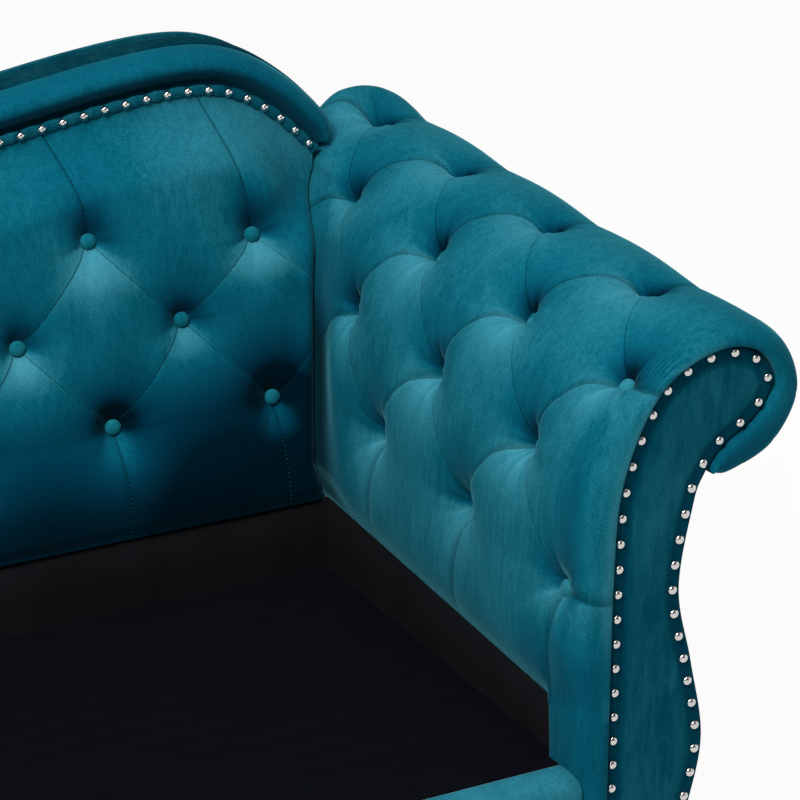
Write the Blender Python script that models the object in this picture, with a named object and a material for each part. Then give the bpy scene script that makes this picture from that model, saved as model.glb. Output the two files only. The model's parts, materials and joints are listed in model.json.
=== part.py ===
"""Velvet two-seat sofa with tufted scroll arms, a tufted back and a serpentine crest.

Metres, +Z up, front towards -Y. Most sizes are read from the inside corner of the seat:
X outwards from the arm's lining, Y backwards from the back's lining, Z upwards from the
deck. place() turns such a point into the sofa's own frame, which stands on the floor.
"""
import math

import bmesh
import bpy
import numpy as np

# Overall sizes
INNER_WIDTH = 1.10
SEAT_DEPTH = 0.552
DECK_HEIGHT = 0.265
BASE_CLEARANCE = 0.110
ARM_TAIL = 0.237

# Fits
GAP = 0.0003
PAD_GAP = 0.0006

# Timber and boards
RAIL_THICKNESS = 0.040
RAIL_DROP = 0.022
BOARD_THICKNESS = 0.018
BOARD_INSET = 0.014
FORMER_THICKNESS = 0.003
RIB_THICKNESS = 0.020
RIB_MARGIN = 0.060
STRETCHER_WIDTH = 0.060
STRETCHER_RISE = 0.080
REAR_RAIL_THICKNESS = 0.028
REAR_RAIL_RISE = 0.065
TACK_RAIL_RISE = 0.037
CORNER_BLOCK_LEG = 0.070
CORNER_BLOCK_RISE = 0.060
CORNER_BLOCK_DROP = 0.020
ARM_RAIL_WIDTH = 0.060
ARM_RAIL_RISE = 0.045
ARM_RAIL_X = 0.105
ARM_RAIL_Z = 0.400

# Cloth and board covers
PANEL_THICKNESS = 0.011
PANEL_EDGE_ROUND = 0.003
OUTER_COVER = 0.0137
LINING_THICKNESS = 0.003
LINING_RISE = 0.0922
LINING_DROP = 0.016
DECK_CLOTH = 0.0015
DECK_PAD = 0.015
DECK_SLOPE = 0.055
DUST_COVER = 0.001
DUST_MARGIN = 0.010
RAIL_COVER_FRONT = 0.024
RAIL_COVER_EDGE = 0.016
COVER_ROUND = 0.014

# Scroll arm: finished crown of the pad and edge of the flat front panel, point for point
ROLL_CENTRE = (0.162, 0.413)
ROLL_RADIUS = 0.089
ROLL_ANGLES = (90, 45, 0, -45, -88)
CROWN_SIDE = [(0.002, 0.0925), (-0.017, 0.135), (-0.018, 0.245), (-0.006, 0.335),
              (0.018, 0.402), (0.052, 0.452), (0.099, 0.4875)]
CROWN_END = (0.133, 0.332)
SCROLL_EDGE = [(0.0295, 0.0925), (0.0295, 0.135), (0.0300, 0.245), (0.034, 0.335),
               (0.051, 0.398), (0.078, 0.446), (0.110, 0.469), (0.152, 0.479),
               (0.191, 0.4665), (0.2105, 0.432), (0.188, 0.392), (0.150, 0.366), (0.131, 0.338)]
SCROLL_TAIL = [(0.1225, 0.313), (0.1095, 0.222), (0.1275, 0.135), (0.144, 0.045),
               (0.132, -0.031), (0.110, -0.100)]
SCROLL_FOOT_IN = 0.0295
SCROLL_FOOT_OUT = 0.102
FORMER_END = 10
OUTER_COVER_START = 10.5
OUTLINE_STEPS = 2
# Share of the pad's thickness and depth past the board, from the crown round to the panel
LIP_STEPS = [(0.80, 0.012), (0.32, 0.0195), (0.0, 0.0)]
LIP_START = 0.014
LIP_CLEARANCE = 0.0045

# Tufting
ARM_BUTTON_PITCH = 0.2088
ARM_BUTTON_FIRST = 0.171
ARM_ROW_FIRST = 0.137
ARM_ROW_PITCH = 0.120
ARM_ROWS = 4
ARM_TUFT_DEPTH = 0.026
ARM_OVER_REACH = 1.6
BACK_BUTTON_PITCH = 0.200
BACK_BUTTON_MARGIN = 0.050
BACK_ROW_HEIGHTS = (0.213, 0.318, 0.421)
BACK_END_DROOP = 0.022
BACK_TUFT_DEPTH = 0.022
CREASE_SHARE = 0.5
PLEAT_END_SHARE = 0.3
SEAT_SHARE = 0.125
BUTTON_SEAT = 0.0125
BUTTON_RADIUS = 0.0095
BUTTON_HEIGHT = 0.0075

# Raked back and its crest
RAKE = 0.27
CROWN_SETBACK = -0.008
PAD_REAR_SETBACK = 0.058
RAKE_LEVEL = 0.100
PAD_SIDE_GAP = 0.004
PAD_SIDE_DRAW = 0.024
WEB_THICKNESS = 0.002
WEB_WIDTH = 0.050
WEB_LOW = 0.150
WEB_HIGH = 0.450
WEB_COUNT = 5
# Crest nail line: distance inwards from the arm's lining, height over the deck
CREST_SHOULDER = [(0.420, 0.524), (0.3135, 0.5405), (0.200, 0.558), (0.110, 0.565),
                  (0.050, 0.556), (-0.005, 0.523), (-0.058, 0.471)]
CREST_DIP = 0.515
CREST_NAIL_Y = 0.1505
CREST_BAND = 0.052
CREST_BAND_END = 0.040
CREST_RAIL_FRONT = 0.190
CREST_RAIL_DROP = 0.030
CREST_STATIONS = 37
CREST_RAIL_SKIP_COUNT = 2
CREST_CAP = 0.016
GIMP_WIDTH = 0.012
GIMP_THICKNESS = 0.0027
PAD_TOP_FLAT = 0.022
PAD_TOP_GAP = 0.001

# Nails, legs and springs
NAIL_RADIUS = 0.0048
NAIL_HEIGHT = 0.0042
NAIL_SIDES = 6
NAIL_SINK = 0.001
BUTTON_SINK = 0.003
BUTTON_SIDES = 6
ARM_NAIL_PITCH = 0.028
CREST_NAIL_PITCH = 0.0255
NAIL_INSET = 0.0085
LEG_RADIUS = 0.030
LEG_FOOT_RADIUS = 0.015
LEG_SIDES = 12
LEG_FRONT_SETBACK = 0.020
LEG_REAR_SETBACK = 0.045
BOLT_RADIUS = 0.004
BOLT_IN_LEG = 0.030
BOLT_IN_RAIL = 0.030
SPRING_COUNT = 6
SPRING_WIRE = 0.0018
SPRING_SWING = 0.022
SPRING_TURNS = 4
SPRING_BENDS = 6
SPRING_END = 0.012
SPRING_TIES = (-0.19, -0.38)

# Places that follow from the sizes above
HALF = INNER_WIDTH / 2
BASE = BASE_CLEARANCE - DECK_HEIGHT
BOARD_FRONT = -(SEAT_DEPTH + 0.0465)
BOARD_REAR = ARM_TAIL
PANEL_FRONT = BOARD_FRONT - GAP - PANEL_THICKNESS
PANEL_REAR = BOARD_REAR + GAP + PANEL_THICKNESS
LIP_REACH = max(step[1] for step in LIP_STEPS)
BACK_PLANE = -(BOARD_FRONT - LIP_REACH + BOARD_REAR + LIP_REACH) / 2
RAIL_TOP = -RAIL_DROP
BOARD_INNER = SCROLL_FOOT_IN + BOARD_INSET
FRONT_RAIL_BACK = -SEAT_DEPTH
FRONT_RAIL_FRONT = FRONT_RAIL_BACK - RAIL_THICKNESS
DECK_FRONT = FRONT_RAIL_FRONT + RAIL_COVER_EDGE
TACK_TOP = LINING_RISE - GAP
FRONT_RAIL_TOP = DECK_SLOPE * SEAT_DEPTH - DECK_PAD - DECK_CLOTH - 2 * SPRING_WIRE - 4 * GAP
RIB_SETBACK = PAD_REAR_SETBACK + 2 * GAP + WEB_THICKNESS
SCROLL_LAST = len(SCROLL_EDGE) + len(SCROLL_TAIL)
SEAT_EDGE = SEAT_SHARE - 0.01
BLOCK_LINES = (0.0, SEAT_EDGE, 0.5, 1 - SEAT_EDGE)
ARM_PHASE = 1
LEG_X = (LINING_THICKNESS + BOARD_INNER) / 2


def material(name, colour, roughness, metallic=0.0):
    """A plain finish in one colour."""
    made = bpy.data.materials.new(name)
    made.use_nodes = True
    shader = made.node_tree.nodes["Principled BSDF"]
    shader.inputs["Base Color"].default_value = (*colour, 1.0)
    shader.inputs["Roughness"].default_value = roughness
    shader.inputs["Metallic"].default_value = metallic
    return made


def place(point, side=1):
    """A point of the seat's corner frame, in the sofa's frame; side -1 is the left arm."""
    x, y, z = point
    return (side * (HALF + x), y + BACK_PLANE, z + DECK_HEIGHT)


def middle(x, y, z):
    """A point across the whole sofa, with X from its centre plane."""
    return (x, y + BACK_PLANE, z + DECK_HEIGHT)


def add_mesh(name, points, faces, finish, smooth_angle=None):
    """One named object from points and faces, with its faces turned outwards."""
    mesh = bpy.data.meshes.new(name)
    mesh.from_pydata([tuple(map(float, point)) for point in points], [], faces)
    shape = bmesh.new()
    shape.from_mesh(mesh)
    bmesh.ops.recalc_face_normals(shape, faces=shape.faces)
    shape.to_mesh(mesh)
    shape.free()
    if smooth_angle is not None:
        mesh.shade_smooth()
        mesh.set_sharp_from_angle(angle=math.radians(smooth_angle))
    mesh.materials.append(finish)
    made = bpy.data.objects.new(name, mesh)
    bpy.context.scene.collection.objects.link(made)
    return made


def join_solids(solids):
    """Points and faces of several closed shapes, as one list of each."""
    points, faces = [], []
    for solid_points, solid_faces in solids:
        start = len(points)
        points += list(solid_points)
        faces += [tuple(start + corner for corner in face) for face in solid_faces]
    return points, faces


def box(low, high):
    """Points and faces of a box between two corners."""
    points = [(x, y, z) for x in (low[0], high[0]) for y in (low[1], high[1]) for z in (low[2], high[2])]
    faces = [(0, 1, 3, 2), (4, 6, 7, 5), (0, 4, 5, 1), (2, 3, 7, 6), (0, 2, 6, 4), (1, 5, 7, 3)]
    return points, faces


def loft(sections, closed=False):
    """Skin over rings of equal length, with flat ends unless the rings close on themselves."""
    ring = len(sections[0])
    count = len(sections)
    points = [point for section in sections for point in section]
    faces = []
    for i in range(count if closed else count - 1):
        near, far = i * ring, (i + 1) % count * ring
        for j in range(ring):
            k = (j + 1) % ring
            faces.append((near + j, near + k, far + k, far + j))
    if not closed:
        faces.append(tuple(range(ring)))
        faces.append(tuple(range((count - 1) * ring, count * ring)))
    return points, faces


def smooth_curve(points, knots):
    """Catmull-Rom curve through points, read at knots counted from the first point."""
    points = np.asarray(points, float)
    ends = np.vstack([2 * points[0] - points[1], points, 2 * points[-1] - points[-2]])
    knots = np.clip(np.asarray(knots, float), 0, len(points) - 1)
    index = np.minimum(knots.astype(int), len(points) - 2)
    u = (knots - index)[:, None]
    a, b, c, d = (ends[index + k] for k in range(4))
    return 0.5 * (2 * b + (c - a) * u + (2 * a - 5 * b + 4 * c - d) * u**2 + (3 * b - a - 3 * c + d) * u**3)


def left_normals(curve):
    """Unit normals to the left of a flat curve's direction of travel."""
    run = np.gradient(curve, axis=0)
    run /= np.linalg.norm(run, axis=1)[:, None]
    return np.stack([-run[:, 1], run[:, 0]], axis=1)


def lengths(curve):
    """Length from the start of a curve to each of its points."""
    steps = np.linalg.norm(np.diff(curve, axis=0), axis=1)
    return np.concatenate([[0], np.cumsum(steps)])


def spaced(curve, pitch):
    """Points along a curve at equal steps near the given pitch, half a step in from its ends."""
    run = lengths(curve)
    count = max(1, round(run[-1] / pitch))
    stops = (np.arange(count) + 0.5) * run[-1] / count
    return np.stack([np.interp(stops, run, curve[:, k]) for k in range(curve.shape[1])], axis=1)


def arch(share):
    """Height of a pillow from its crease, 0, to its top, 1."""
    return math.sqrt(1 - (1 - min(max(share, 0), 1))**2)


def tuft(row, column, rows, pleat_low=1.0, pleat_high=1.0):
    """Depth, 0 to 1, of diamond tufting where buttons sit at even sums of row and column."""
    def crease(along):
        return 1 - (1 - CREASE_SHARE) * math.sin(math.pi * along)
    inside = min(max(row, 0), rows - 1)
    if row != inside:
        reach = pleat_low if row < 0 else pleat_high
        off = abs((column - inside + 1) % 2 - 1)
        fade = 1 - (1 - PLEAT_END_SHARE) * min(abs(row - inside) / reach, 1)
        return (1 - arch(off)) * crease(off / 2) * fade
    r, c = min(math.floor(inside), rows - 2), math.floor(column)
    u, v = inside - r, column - c
    if (r + c) % 2:
        v = 1 - v
    if max(u, v) <= SEAT_SHARE or min(u, v) >= 1 - SEAT_SHARE:
        return 1.0
    return (1 - arch(abs(u - v))) * crease((u + v) / 2)


def lattice_lines(first, last):
    """Grid lines over whole tufting blocks, with a flat seat kept round each button."""
    lines = [start + share for start in range(first, last) for share in BLOCK_LINES]
    return lines + [float(last)]


def cell_faces(columns, rows, slope):
    """Triangles of a grid whose diagonals follow the creases; slope says which way each runs."""
    faces = []
    for i in range(columns - 1):
        for j in range(rows - 1):
            a, b = i * rows + j, i * rows + j + 1
            c, d = (i + 1) * rows + j + 1, (i + 1) * rows + j
            if slope(i, j):
                faces += [(a, b, c), (a, c, d)]
            else:
                faces += [(a, b, d), (b, c, d)]
    return faces


def crown_keys():
    """Key points of the arm pad's crown, from the lining up and over the roll."""
    x, z = ROLL_CENTRE
    roll = [(x + ROLL_RADIUS * math.cos(math.radians(a)), z + ROLL_RADIUS * math.sin(math.radians(a)))
            for a in ROLL_ANGLES]
    return CROWN_SIDE + roll + [CROWN_END]


def scroll_keys():
    """Key points of the flat panel's whole edge, from foot to foot."""
    return [(SCROLL_FOOT_IN, BASE)] + SCROLL_EDGE + SCROLL_TAIL + [(SCROLL_FOOT_OUT, BASE)]


def scroll_curve(first, last, inset):
    """Part of the scroll between two of its edge's key points, moved inwards by inset."""
    keys = scroll_keys()
    knots = np.linspace(0, len(keys) - 1, OUTLINE_STEPS * (len(keys) - 1) + 1)
    whole = smooth_curve(keys, knots)
    moved = whole - inset * left_normals(whole)
    moved[[0, -1], 1] = BASE
    return moved[round((first + 1) * OUTLINE_STEPS):round((last + 1) * OUTLINE_STEPS) + 1]


def crown_x(height):
    """How far out the arm pad's crown lies at a height, on its seat side."""
    curve = smooth_curve(crown_keys(), np.linspace(0, len(CROWN_SIDE), 60))
    return float(np.interp(height, curve[:, 1], curve[:, 0]))


def scroll_board(name, side, front, rear, inset, finish, edge_round=0.0):
    """A flat board in the arm's scroll outline, between two depths, with an eased front edge."""
    outline = scroll_curve(-1, SCROLL_LAST, inset)
    stations = [(rear, outline), (front, outline)]
    if edge_round:
        eased = scroll_curve(-1, SCROLL_LAST, inset + edge_round)
        step = math.copysign(edge_round, rear - front)
        stations = [(rear, outline), (front + step, outline), (front, eased)]
    sections = [[place((x, y, z), side) for x, z in ring] for y, ring in stations]
    points, faces = loft(sections)
    return add_mesh(name, points, faces, finish, 30)


def strip_along_arm(name, side, outer, inner, front, rear, finish):
    """A bent sheet between two curves of the arm's outline, running from front to rear."""
    ring = list(outer) + list(inner[::-1])
    sections = [[place((x, y, z), side) for x, z in ring] for y in (front, rear)]
    points, faces = loft(sections)
    return add_mesh(name, points, faces, finish, 30)


def arm_columns():
    """How many half-pitch steps of buttons the arm's length holds."""
    run = ARM_BUTTON_FIRST - BOARD_FRONT - 2 * LIP_START
    return int(run / (ARM_BUTTON_PITCH / 2))


def arm_stations():
    """Depths of the arm pad's rings, with the lattice column and the share of full crown."""
    half_pitch = ARM_BUTTON_PITCH / 2
    rear = [(BOARD_REAR + reach, None, share) for share, reach in reversed(LIP_STEPS)]
    front = [(BOARD_FRONT - reach, None, share) for share, reach in LIP_STEPS]
    body = [(ARM_BUTTON_FIRST - half_pitch * c, c, 1.0) for c in lattice_lines(0, arm_columns())]
    start = (BOARD_REAR - LIP_START, (ARM_BUTTON_FIRST - BOARD_REAR + LIP_START) / half_pitch, 1.0)
    end_y = BOARD_FRONT + LIP_START
    end = (end_y, (ARM_BUTTON_FIRST - end_y) / half_pitch, 1.0)
    seats = [(ARM_BUTTON_FIRST - half_pitch * c, c, 1.0) for c in (-SEAT_EDGE, arm_columns() + SEAT_EDGE)]
    return rear + [start, seats[0]] + body + [seats[1], end] + front


def arm_knots():
    """Knots of the crown curve at each grid line of the pad, with the tufting row."""
    fine = np.linspace(0, len(crown_keys()) - 1, 600)
    run = lengths(smooth_curve(crown_keys(), fine))
    rows = [-ARM_ROW_FIRST / ARM_ROW_PITCH * share for share in (1.0, 0.8, 0.45)] + [-SEAT_EDGE]
    rows += lattice_lines(0, ARM_ROWS - 1) + [ARM_ROWS - 1 + SEAT_EDGE]
    knots = list(np.interp([ARM_ROW_FIRST + row * ARM_ROW_PITCH for row in rows], run, fine))
    over = [knot for knot in (7.7, 8.5, 9.3, 10.1, 11.0, 12.0) if knot > knots[-1] + 0.15]
    rows += list((np.interp(over, fine, run) - ARM_ROW_FIRST) / ARM_ROW_PITCH)
    return knots + over, rows


def arm_pad_depth(row, column, y):
    """Depth of the tufting under the arm's crown, dying out towards the pad's two ends."""
    side_reach = ARM_ROW_FIRST / ARM_ROW_PITCH
    ends = min(y - BOARD_FRONT - LIP_START, BOARD_REAR - LIP_START - y)
    fade = min(1, max(0, ends / 0.022))
    return ARM_TUFT_DEPTH * tuft(row, column + ARM_PHASE, ARM_ROWS, side_reach, ARM_OVER_REACH) * fade


def arm_pad(side, finish):
    """The buttoned pad over the seat side and roll of one arm."""
    knots, rows = arm_knots()
    crown = smooth_curve(crown_keys(), knots)
    out = left_normals(smooth_curve(crown_keys(), knots))
    edge = smooth_curve(scroll_keys(), np.add(knots, 1))
    edge = edge + left_normals(edge) * LIP_CLEARANCE
    edge[0] = (SCROLL_EDGE[0][0] - LIP_CLEARANCE, crown[0][1])
    stations = arm_stations()
    points = []
    for y, column, share in stations:
        for j in range(len(knots)):
            spot = crown[j] * share + edge[j] * (1 - share)
            if column is not None and 0 < j < len(knots) - 1:
                spot = spot - out[j] * arm_pad_depth(rows[j], column, y)
            points.append(place((spot[0], y, spot[1]), side))
    lining = scroll_curve(0, FORMER_END, BOARD_INSET - FORMER_THICKNESS - GAP - PAD_GAP)
    skin = scroll_curve(FORMER_END, len(SCROLL_EDGE) - 1, -PAD_GAP)[1:]
    inner = [*lining, *skin]
    count, ring, depth = len(stations), len(knots), len(inner)
    for y in (stations[0][0], stations[-1][0]):
        points += [place((x, y, z), side) for x, z in inner]
    rear, front = count * ring, count * ring + depth

    def slope(i, j):
        """Cells split along the creases, which turn at each button row and column."""
        if None in (stations[i][1], stations[i + 1][1]):
            return True
        column = math.floor((stations[i][1] + stations[i + 1][1]) / 2)
        return (column + ARM_PHASE + math.floor((rows[j] + rows[j + 1]) / 2)) % 2 == 0
    faces = cell_faces(count, ring, slope)
    base = (count - 1) * ring
    faces.append(tuple(range(ring)) + tuple(range(rear + depth - 1, rear - 1, -1)))
    faces.append(tuple(range(base, base + ring)) + tuple(range(front + depth - 1, front - 1, -1)))
    faces += [(rear + k, rear + k + 1, front + k + 1, front + k) for k in range(depth - 1)]
    for j, k in ((0, 0), (ring - 1, depth - 1)):
        faces.append(tuple(i * ring + j for i in range(count)) + (front + k, rear + k))
    made = add_mesh(side_name(side, "arm_tufted_pad"), points, faces, finish, 180)
    unite(made, arm_buttons(side))
    return made


def side_name(side, name):
    """The name of a piece that the left and the right arm both have."""
    return ("right_" if side > 0 else "left_") + name


def unite(target, solids):
    """Makes the shapes that are sewn or driven into a piece one body with it."""
    fixed = add_mesh(target.name + "_fixings", *join_solids(solids), target.data.materials[0])
    fixed.hide_render = True
    fixed.display_type = "WIRE"
    joint = target.modifiers.new("fixings", "BOOLEAN")
    joint.operation = "UNION"
    joint.object = fixed


def dome(base, out, radius, height, sink, sides):
    """A domed head whose foot is sunk into what carries it, facing out."""
    out = np.asarray(out, float) / np.linalg.norm(out)
    across = np.cross(out, (0.0, 0.31, 0.95))
    across /= np.linalg.norm(across)
    up = np.cross(out, across)
    rings = []
    for share, lift in ((1.0, -sink), (0.75, height)):
        turn = [2 * math.pi * k / sides for k in range(sides)]
        rings.append([np.asarray(base) + radius * share * (math.cos(a) * across + math.sin(a) * up)
                      + out * lift for a in turn])
    return loft(rings)


def button(base, out):
    """A covered button in its dimple."""
    return dome(base, out, BUTTON_RADIUS, BUTTON_HEIGHT, BUTTON_SINK, BUTTON_SIDES)


def nail(base, out):
    """A domed nail head."""
    return dome(base, out, NAIL_RADIUS, NAIL_HEIGHT, NAIL_SINK, NAIL_SIDES)


def arm_buttons(side):
    """Covered buttons of one arm, apart from the low ones that the back covers."""
    fine = np.linspace(0, len(crown_keys()) - 1, 600)
    curve = smooth_curve(crown_keys(), fine)
    normals = left_normals(curve)
    run = lengths(curve)
    solids = []
    for row in range(ARM_ROWS):
        along = ARM_ROW_FIRST + row * ARM_ROW_PITCH
        spot = np.array([np.interp(along, run, curve[:, k]) for k in range(2)])
        out = np.array([np.interp(along, run, normals[:, k]) for k in range(2)])
        for column in range(arm_columns() + 1):
            y = ARM_BUTTON_FIRST - column * ARM_BUTTON_PITCH / 2
            covered = spot[0] < 0.05 and y > raked(spot[1], CROWN_SETBACK) - BUTTON_RADIUS
            if (row + column + ARM_PHASE) % 2 or covered:
                continue
            foot = spot - out * ARM_TUFT_DEPTH
            solids.append(button(place((foot[0], y, foot[1]), side), (side * out[0], 0.0, out[1])))
    return solids


def arm_nails(side):
    """Domed nails round the edge of one arm's front panel."""
    line = scroll_curve(-1, SCROLL_LAST, NAIL_INSET)
    return [nail(place((x, PANEL_FRONT, z), side), (0, -1, 0)) for x, z in spaced(line, ARM_NAIL_PITCH)]


def arm_boxes(side):
    """Boxes of one arm's straight timber, by name, as corners in the seat's corner frame."""
    rail_in = LINING_THICKNESS + GAP
    rail_out = BOARD_INNER - GAP
    former_in = BOARD_INNER - FORMER_THICKNESS - 2 * GAP
    return {
        "side_seat_rail": ((rail_in, FRONT_RAIL_BACK + GAP, BASE), (rail_out, BOARD_REAR, RAIL_TOP)),
        "arm_tack_rail": ((rail_in, FRONT_RAIL_BACK + GAP, TACK_TOP - TACK_RAIL_RISE),
                          (former_in, BOARD_REAR, TACK_TOP)),
        "arm_front_post_block": ((SCROLL_FOOT_IN - GAP, BOARD_FRONT, FRONT_RAIL_TOP + GAP),
                                 (former_in, FRONT_RAIL_BACK - GAP, TACK_TOP)),
        "arm_top_rail": ((ARM_RAIL_X, BOARD_FRONT + BOARD_THICKNESS + GAP, ARM_RAIL_Z),
                         (ARM_RAIL_X + ARM_RAIL_WIDTH, BOARD_REAR - BOARD_THICKNESS - GAP,
                          ARM_RAIL_Z + ARM_RAIL_RISE)),
        "arm_lining_strip": ((0.0, FRONT_RAIL_BACK + GAP, -LINING_DROP),
                             (LINING_THICKNESS, -GAP, LINING_RISE)),
    }


def corner_box(name, side, low, high, finish):
    """A box of one arm, by its corners in the seat's corner frame."""
    points, faces = box(place(low, side), place(high, side))
    return add_mesh(name, points, faces, finish)


def arm_post_cover(side, finish):
    """The velvet corner under the arm pad's front end, from its hem down to the base."""
    front = BOARD_FRONT - LIP_REACH
    top = LINING_RISE
    back = FRONT_RAIL_BACK - GAP
    step = FRONT_RAIL_FRONT - GAP
    ledge = FRONT_RAIL_TOP + GAP
    turn = [math.radians(90 + 30 * k) for k in range(4)]
    nose = [(front + COVER_ROUND + COVER_ROUND * math.cos(a), top - COVER_ROUND + COVER_ROUND * math.sin(a))
            for a in turn]
    outline = [(back, ledge), (back, top)] + nose + [(front, BASE), (step, BASE), (step, ledge)]
    sections = [[place((x, y, z), side) for y, z in outline]
                for x in (GAP, SCROLL_FOOT_IN - 2 * GAP)]
    return add_mesh(side_name(side, "arm_post_cover"), *loft(sections), finish, 30)


def front_rail_cover(finish):
    """Velvet over the front seat rail, rounded over from the deck's edge to the base."""
    front = FRONT_RAIL_FRONT - GAP - RAIL_COVER_FRONT
    top = DECK_SLOPE * -DECK_FRONT
    turn = [math.radians(90 + 22.5 * k) for k in range(5)]
    nose = [(front + COVER_ROUND + COVER_ROUND * math.cos(a), top - COVER_ROUND + COVER_ROUND * math.sin(a))
            for a in turn]
    back = FRONT_RAIL_FRONT - GAP
    seam = DECK_FRONT - GAP
    outline = [(seam, FRONT_RAIL_TOP + GAP), (seam, top)] + nose
    outline += [(front, BASE), (back, BASE), (back, FRONT_RAIL_TOP + GAP)]
    sections = [[middle(x, y, z) for y, z in outline] for x in (-HALF, HALF)]
    return add_mesh("front_rail_cover", *loft(sections), finish, 30)


def raked(height, setback):
    """Depth of the raked back at a height, a setback behind its reference line."""
    return setback + RAKE * (height - RAKE_LEVEL)


def crest_curve(count=CREST_STATIONS, end=0.0):
    """The crest's nail line across the sofa, stopped short of each of its ends by end."""
    keys = [(HALF - inset, height) for inset, height in CREST_SHOULDER]
    half = [(0.0, CREST_DIP)] + keys
    whole = [(-x, z) for x, z in half[:0:-1]] + half
    fine = smooth_curve(whole, np.linspace(0, len(whole) - 1, 400))
    run = lengths(fine)
    stops = np.linspace(end, run[-1] - end, count)
    return np.stack([np.interp(stops, run, fine[:, k]) for k in range(2)], axis=1)


def crest_height(x, rise=0.0):
    """Height of the nail line, or of a line at a rise from it, at a distance from the centre plane."""
    curve = crest_curve()
    curve = curve + left_normals(curve) * rise
    return float(np.interp(x, curve[:, 0], curve[:, 1]))


def band_rise(count=CREST_STATIONS):
    """Height of the crest border along its line, less towards the arms."""
    share = np.abs(np.linspace(-1, 1, count))
    return CREST_BAND + (CREST_BAND_END - CREST_BAND) * np.clip((share - 0.72) / 0.28, 0, 1)


def crest_loft(name, profile, finish, smooth_angle, skip=0):
    """A solid swept along the crest; profile gives (rise, depth) points for a band height."""
    curve = crest_curve()
    out = left_normals(curve)
    sections = []
    for spot, lift, rise in list(zip(curve, out, band_rise()))[skip:len(curve) - skip]:
        sections.append([middle(spot[0] + lift[0] * n, y, spot[1] + lift[1] * n) for n, y in profile(rise)])
    return add_mesh(name, *loft(sections), finish, smooth_angle)


def crest_border_profile(rise):
    """Section of the padded border: a front roll, a seam, a level top and a rounded rear edge."""
    front = CREST_NAIL_Y
    rear = BOARD_REAR
    cap = rise - CREST_CAP
    return [(GAP, front + 0.007), (0.24 * rise, front - 0.003), (0.54 * rise, front - 0.006),
            (0.82 * rise, front + 0.002), (rise, front + 0.019), (rise + 0.001, front + 0.045),
            (rise - 0.002, rear - 0.012), (cap + 0.002, rear), (cap + GAP, rear),
            (cap + GAP, CREST_RAIL_FRONT - GAP), (GAP, CREST_RAIL_FRONT - GAP)]


def crest_rail_profile(rise):
    """Section of the timber rail inside the border."""
    top = rise - CREST_CAP - GAP
    return [(-CREST_RAIL_DROP, CREST_RAIL_FRONT), (top, CREST_RAIL_FRONT),
            (top, BOARD_REAR), (-CREST_RAIL_DROP, BOARD_REAR)]


def gimp_profile(_rise):
    """Section of the flat strip under the crest's nails."""
    rear = CREST_NAIL_Y - GAP
    return [(-GIMP_WIDTH, rear), (-GIMP_WIDTH, rear - GIMP_THICKNESS),
            (-GAP, rear - GIMP_THICKNESS), (-GAP, rear)]


def crest_nails():
    """Domed nails along the gimp."""
    curve = crest_curve(400, 0.012)
    line = curve - left_normals(curve) * GIMP_WIDTH / 2
    seat = CREST_NAIL_Y - GAP - GIMP_THICKNESS
    return [nail(middle(x, seat, z), (0, -1, 0)) for x, z in spaced(line, CREST_NAIL_PITCH)]


def back_columns():
    """Number of buttons in the long rows and their true pitch."""
    count = max(2, round((INNER_WIDTH - 2 * BACK_BUTTON_MARGIN) / BACK_BUTTON_PITCH) + 1)
    return count, (INNER_WIDTH - 2 * BACK_BUTTON_MARGIN) / (count - 1)


def back_row_height(row, x):
    """Height of a tufting row, which droops beside the arms in the top row."""
    top = len(BACK_ROW_HEIGHTS) - 1
    height = float(np.interp(row, range(top + 1), BACK_ROW_HEIGHTS))
    last = HALF - BACK_BUTTON_MARGIN
    droop = BACK_END_DROOP * min(max((abs(x) - last + BACK_BUTTON_PITCH) / BACK_BUTTON_PITCH, 0), 1.2)
    return height - droop * min(max(row - top + 1, 0), 1)


def back_pad_edge(height):
    """Half width of the back pad at a height, just clear of the arm's crown."""
    return HALF + crown_x(max(height, LINING_RISE + 0.02)) - PAD_SIDE_GAP


def back_lattice():
    """Columns of the back pad's grid as (lattice column, share of the way from the last button out)."""
    last = back_columns()[0] - 1
    ends = [(last + SEAT_EDGE, 0.0), (last + 0.5, 0.55), (last + 0.9, 1.0)]
    inner = [(line, 0.0) for line in lattice_lines(-last, last)]
    return [(-line, share) for line, share in reversed(ends)] + inner + ends


def back_rows():
    """Rows of the back pad's grid: the hem, the pleats, the tufting and the pleats up to the crest."""
    top = len(BACK_ROW_HEIGHTS) - 1
    return ([-1.0, -0.85, -0.45, -SEAT_EDGE] + lattice_lines(0, top)
            + [top + SEAT_EDGE, top + 0.45, top + 0.85, top + 1.0])


def back_pad_outline(x, row):
    """Height of the back pad's grid at a distance from the centre plane."""
    top = len(BACK_ROW_HEIGHTS) - 1
    base = back_row_height(min(max(row, 0), top), x)
    if 0 <= row <= top:
        return base
    if row < 0:
        share = BUTTON_SEAT / (base - LINING_RISE) if row == -SEAT_EDGE else -row
        return base + (LINING_RISE + PAD_GAP - base) * share
    roof = crest_height(x) - PAD_TOP_GAP
    span = roof - PAD_TOP_FLAT - base
    shares = {top + SEAT_EDGE: BUTTON_SEAT / span, top + 0.45: 0.5, top + 0.85: 1.0}
    return roof if row == top + 1.0 else base + span * shares[row]


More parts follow.
